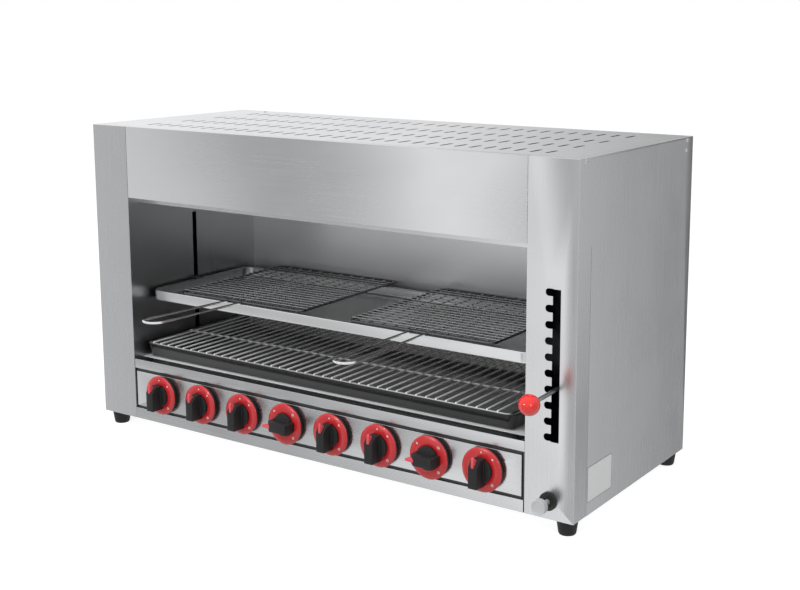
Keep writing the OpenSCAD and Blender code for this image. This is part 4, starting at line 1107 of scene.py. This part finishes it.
for stop, (angle, level) in zip(ramp.color_ramp.elements, ROOM):
    stop.position = (angle + 180) / 360
    stop.color = (level / RAMP_TOP, level / RAMP_TOP, level / RAMP_TOP, 1)
round_level = add(sky, "ShaderNodeMath", {0: ramp.outputs[0], 1: RAMP_TOP}, operation="MULTIPLY")
# The walls give way to the even rest from 13 to 30 degrees up and from 24 to 40 degrees down.
above = add(sky, "ShaderNodeMapRange", {"Value": way["Z"], "From Min": 0.22, "From Max": 0.5})
below = add(sky, "ShaderNodeMapRange", {"Value": way["Z"], "From Min": -0.4, "From Max": -0.65})
raised = add(sky, "ShaderNodeMix",
             {0: above.outputs[0], 2: round_level.outputs[0], 3: ABOVE_BELOW_LEVEL})
gloss = add(sky, "ShaderNodeMix", {0: below.outputs[0], 2: raised.outputs[0], 3: ABOVE_BELOW_LEVEL})
rays = add(sky, "ShaderNodeLightPath").outputs
seen = add(sky, "ShaderNodeMath", {0: rays["Is Camera Ray"], 1: rays["Is Transmission Ray"]},
           operation="MAXIMUM")
dull = add(sky, "ShaderNodeMix", {0: rays["Is Glossy Ray"], 2: DIFFUSE_LEVEL, 3: gloss.outputs[0]})
strength = add(sky, "ShaderNodeMix", {0: seen.outputs[0], 2: dull.outputs[0], 3: 1.0})
white = {"Color": (1, 1, 1, 1), "Strength": strength.outputs[0]}
back = add(sky, "ShaderNodeBackground", white)
add(sky, "ShaderNodeOutputWorld", {"Surface": back.outputs[0]})
print("world nodes", len(sky.nodes))

# %% [markdown]
# ## Floor
# The floor is a large sheet of white paper. It glows a little for the camera only, so that it joins
# the white background and still takes the object's shadow.

# %% Lay the floor
FLOOR_HALF = 12.0
CAMERA_GLOW = 0.80
sides = ((-1, -1), (1, -1), (1, 1), (-1, 1))
floor_mesh = bpy.data.meshes.new("studio_floor")
floor_mesh.from_pydata([(x * FLOOR_HALF, y * FLOOR_HALF, 0) for x, y in sides], [], [(0, 1, 2, 3)])
floor = bpy.data.objects.new("studio_floor", floor_mesh)
scene.collection.objects.link(floor)
paper = bpy.data.materials.new("paper_white")
paper.use_nodes = True
page = paper.node_tree
page.nodes.clear()
fibre = {**USUAL, "Value": lumps(page, 2.0), "To Min": 0.6, "To Max": 0.9}
rough = add(page, "ShaderNodeMapRange", fibre).outputs[0]
matt = add(page, "ShaderNodeBsdfDiffuse", {"Color": srgb("A4A4A4"), "Roughness": rough})
shown = add(page, "ShaderNodeLightPath").outputs["Is Camera Ray"]
glow_level = add(page, "ShaderNodeMath", {0: shown, 1: CAMERA_GLOW}, operation="MULTIPLY")
light = {"Color": (1, 1, 1, 1), "Strength": glow_level.outputs[0]}
glow = add(page, "ShaderNodeEmission", light)
both = add(page, "ShaderNodeAddShader", {0: matt.outputs[0], 1: glow.outputs[0]})
add(page, "ShaderNodeOutputMaterial", {"Surface": both.outputs[0]})
floor_mesh.materials.append(paper)
floor.visible_glossy = False
print("floor", FLOOR_HALF * 2, "m")

# %% [markdown]
# ## Lamps
# Four large soft boxes light the object softly from the left, the right, above and the front. They
# don't show in metal, because their mirror images would burn white patches into the sheets. Two
# small ones do the opposite: they only put crisp highlights on the red plastic of the ball, the
# rings and the pointers.

# %% Hang the soft boxes
red_plastic = bpy.data.collections.new("red_plastic")
for piece in scene.objects:
    if piece.name.endswith(("_red_ring", "_tongue", "ball_turned")):
        red_plastic.objects.link(piece)


def softbox(name, heading_deg, height_deg, distance, size, power, highlights_only=False):
    """A lamp on a circle round the object; heading is measured from the front to the right."""
    turn, tip = math.radians(heading_deg), math.radians(height_deg)
    aim = Vector((0, 0, 0.35))
    outward = Vector((math.sin(turn) * math.cos(tip), -math.cos(turn) * math.cos(tip), math.sin(tip)))
    place = aim + distance * outward
    lamp = bpy.data.lights.new(name, "AREA")
    lamp.shape = "RECTANGLE"
    lamp.size, lamp.size_y = size
    lamp.energy = power
    holder = bpy.data.objects.new(name, lamp)
    holder.location = place
    holder.rotation_euler = (aim - place).to_track_quat("-Z", "Y").to_euler()
    holder.visible_camera = False
    holder.visible_glossy = highlights_only
    if highlights_only:
        holder.visible_diffuse = False
        holder.light_linking.receiver_collection = red_plastic
    scene.collection.objects.link(holder)
    print(name, "watts", power)


softbox("softbox_left", -42, 46, 3.2, (1.6, 1.6), 36)
softbox("softbox_right", 62, 26, 3.2, (1.2, 1.2), 12)
softbox("softbox_top", 10, 76, 2.8, (2.4, 2.0), 34)
softbox("softbox_front", 8, 8, 3.4, (1.2, 0.8), 24)
softbox("strip_left", -15, 12, 3.2, (0.2, 0.28), 20, highlights_only=True)
softbox("strip_right", 49, 12, 3.2, (0.16, 0.2), 16, highlights_only=True)

# %% [markdown]
# ## Camera
# The camera stands about 34 degrees to the right of the front and 10 degrees up, with a mild long
# lens. Its shift only moves the object to its place in the frame.

# %% Set the camera
lens = bpy.data.cameras.new("camera")
lens.lens = 57.94
lens.sensor_width = 36
lens.shift_x, lens.shift_y = -0.045, -0.0829
lens.clip_start, lens.clip_end = 0.05, 60
camera = bpy.data.objects.new("camera", lens)
camera.location = (1.5981, -2.0880, 0.9347)
camera.rotation_euler = (math.radians(80.25), 0, math.radians(33.77))
scene.collection.objects.link(camera)
scene.camera = camera
scene.view_settings.view_transform = "Standard"
print("camera at", tuple(round(v, 3) for v in camera.location))
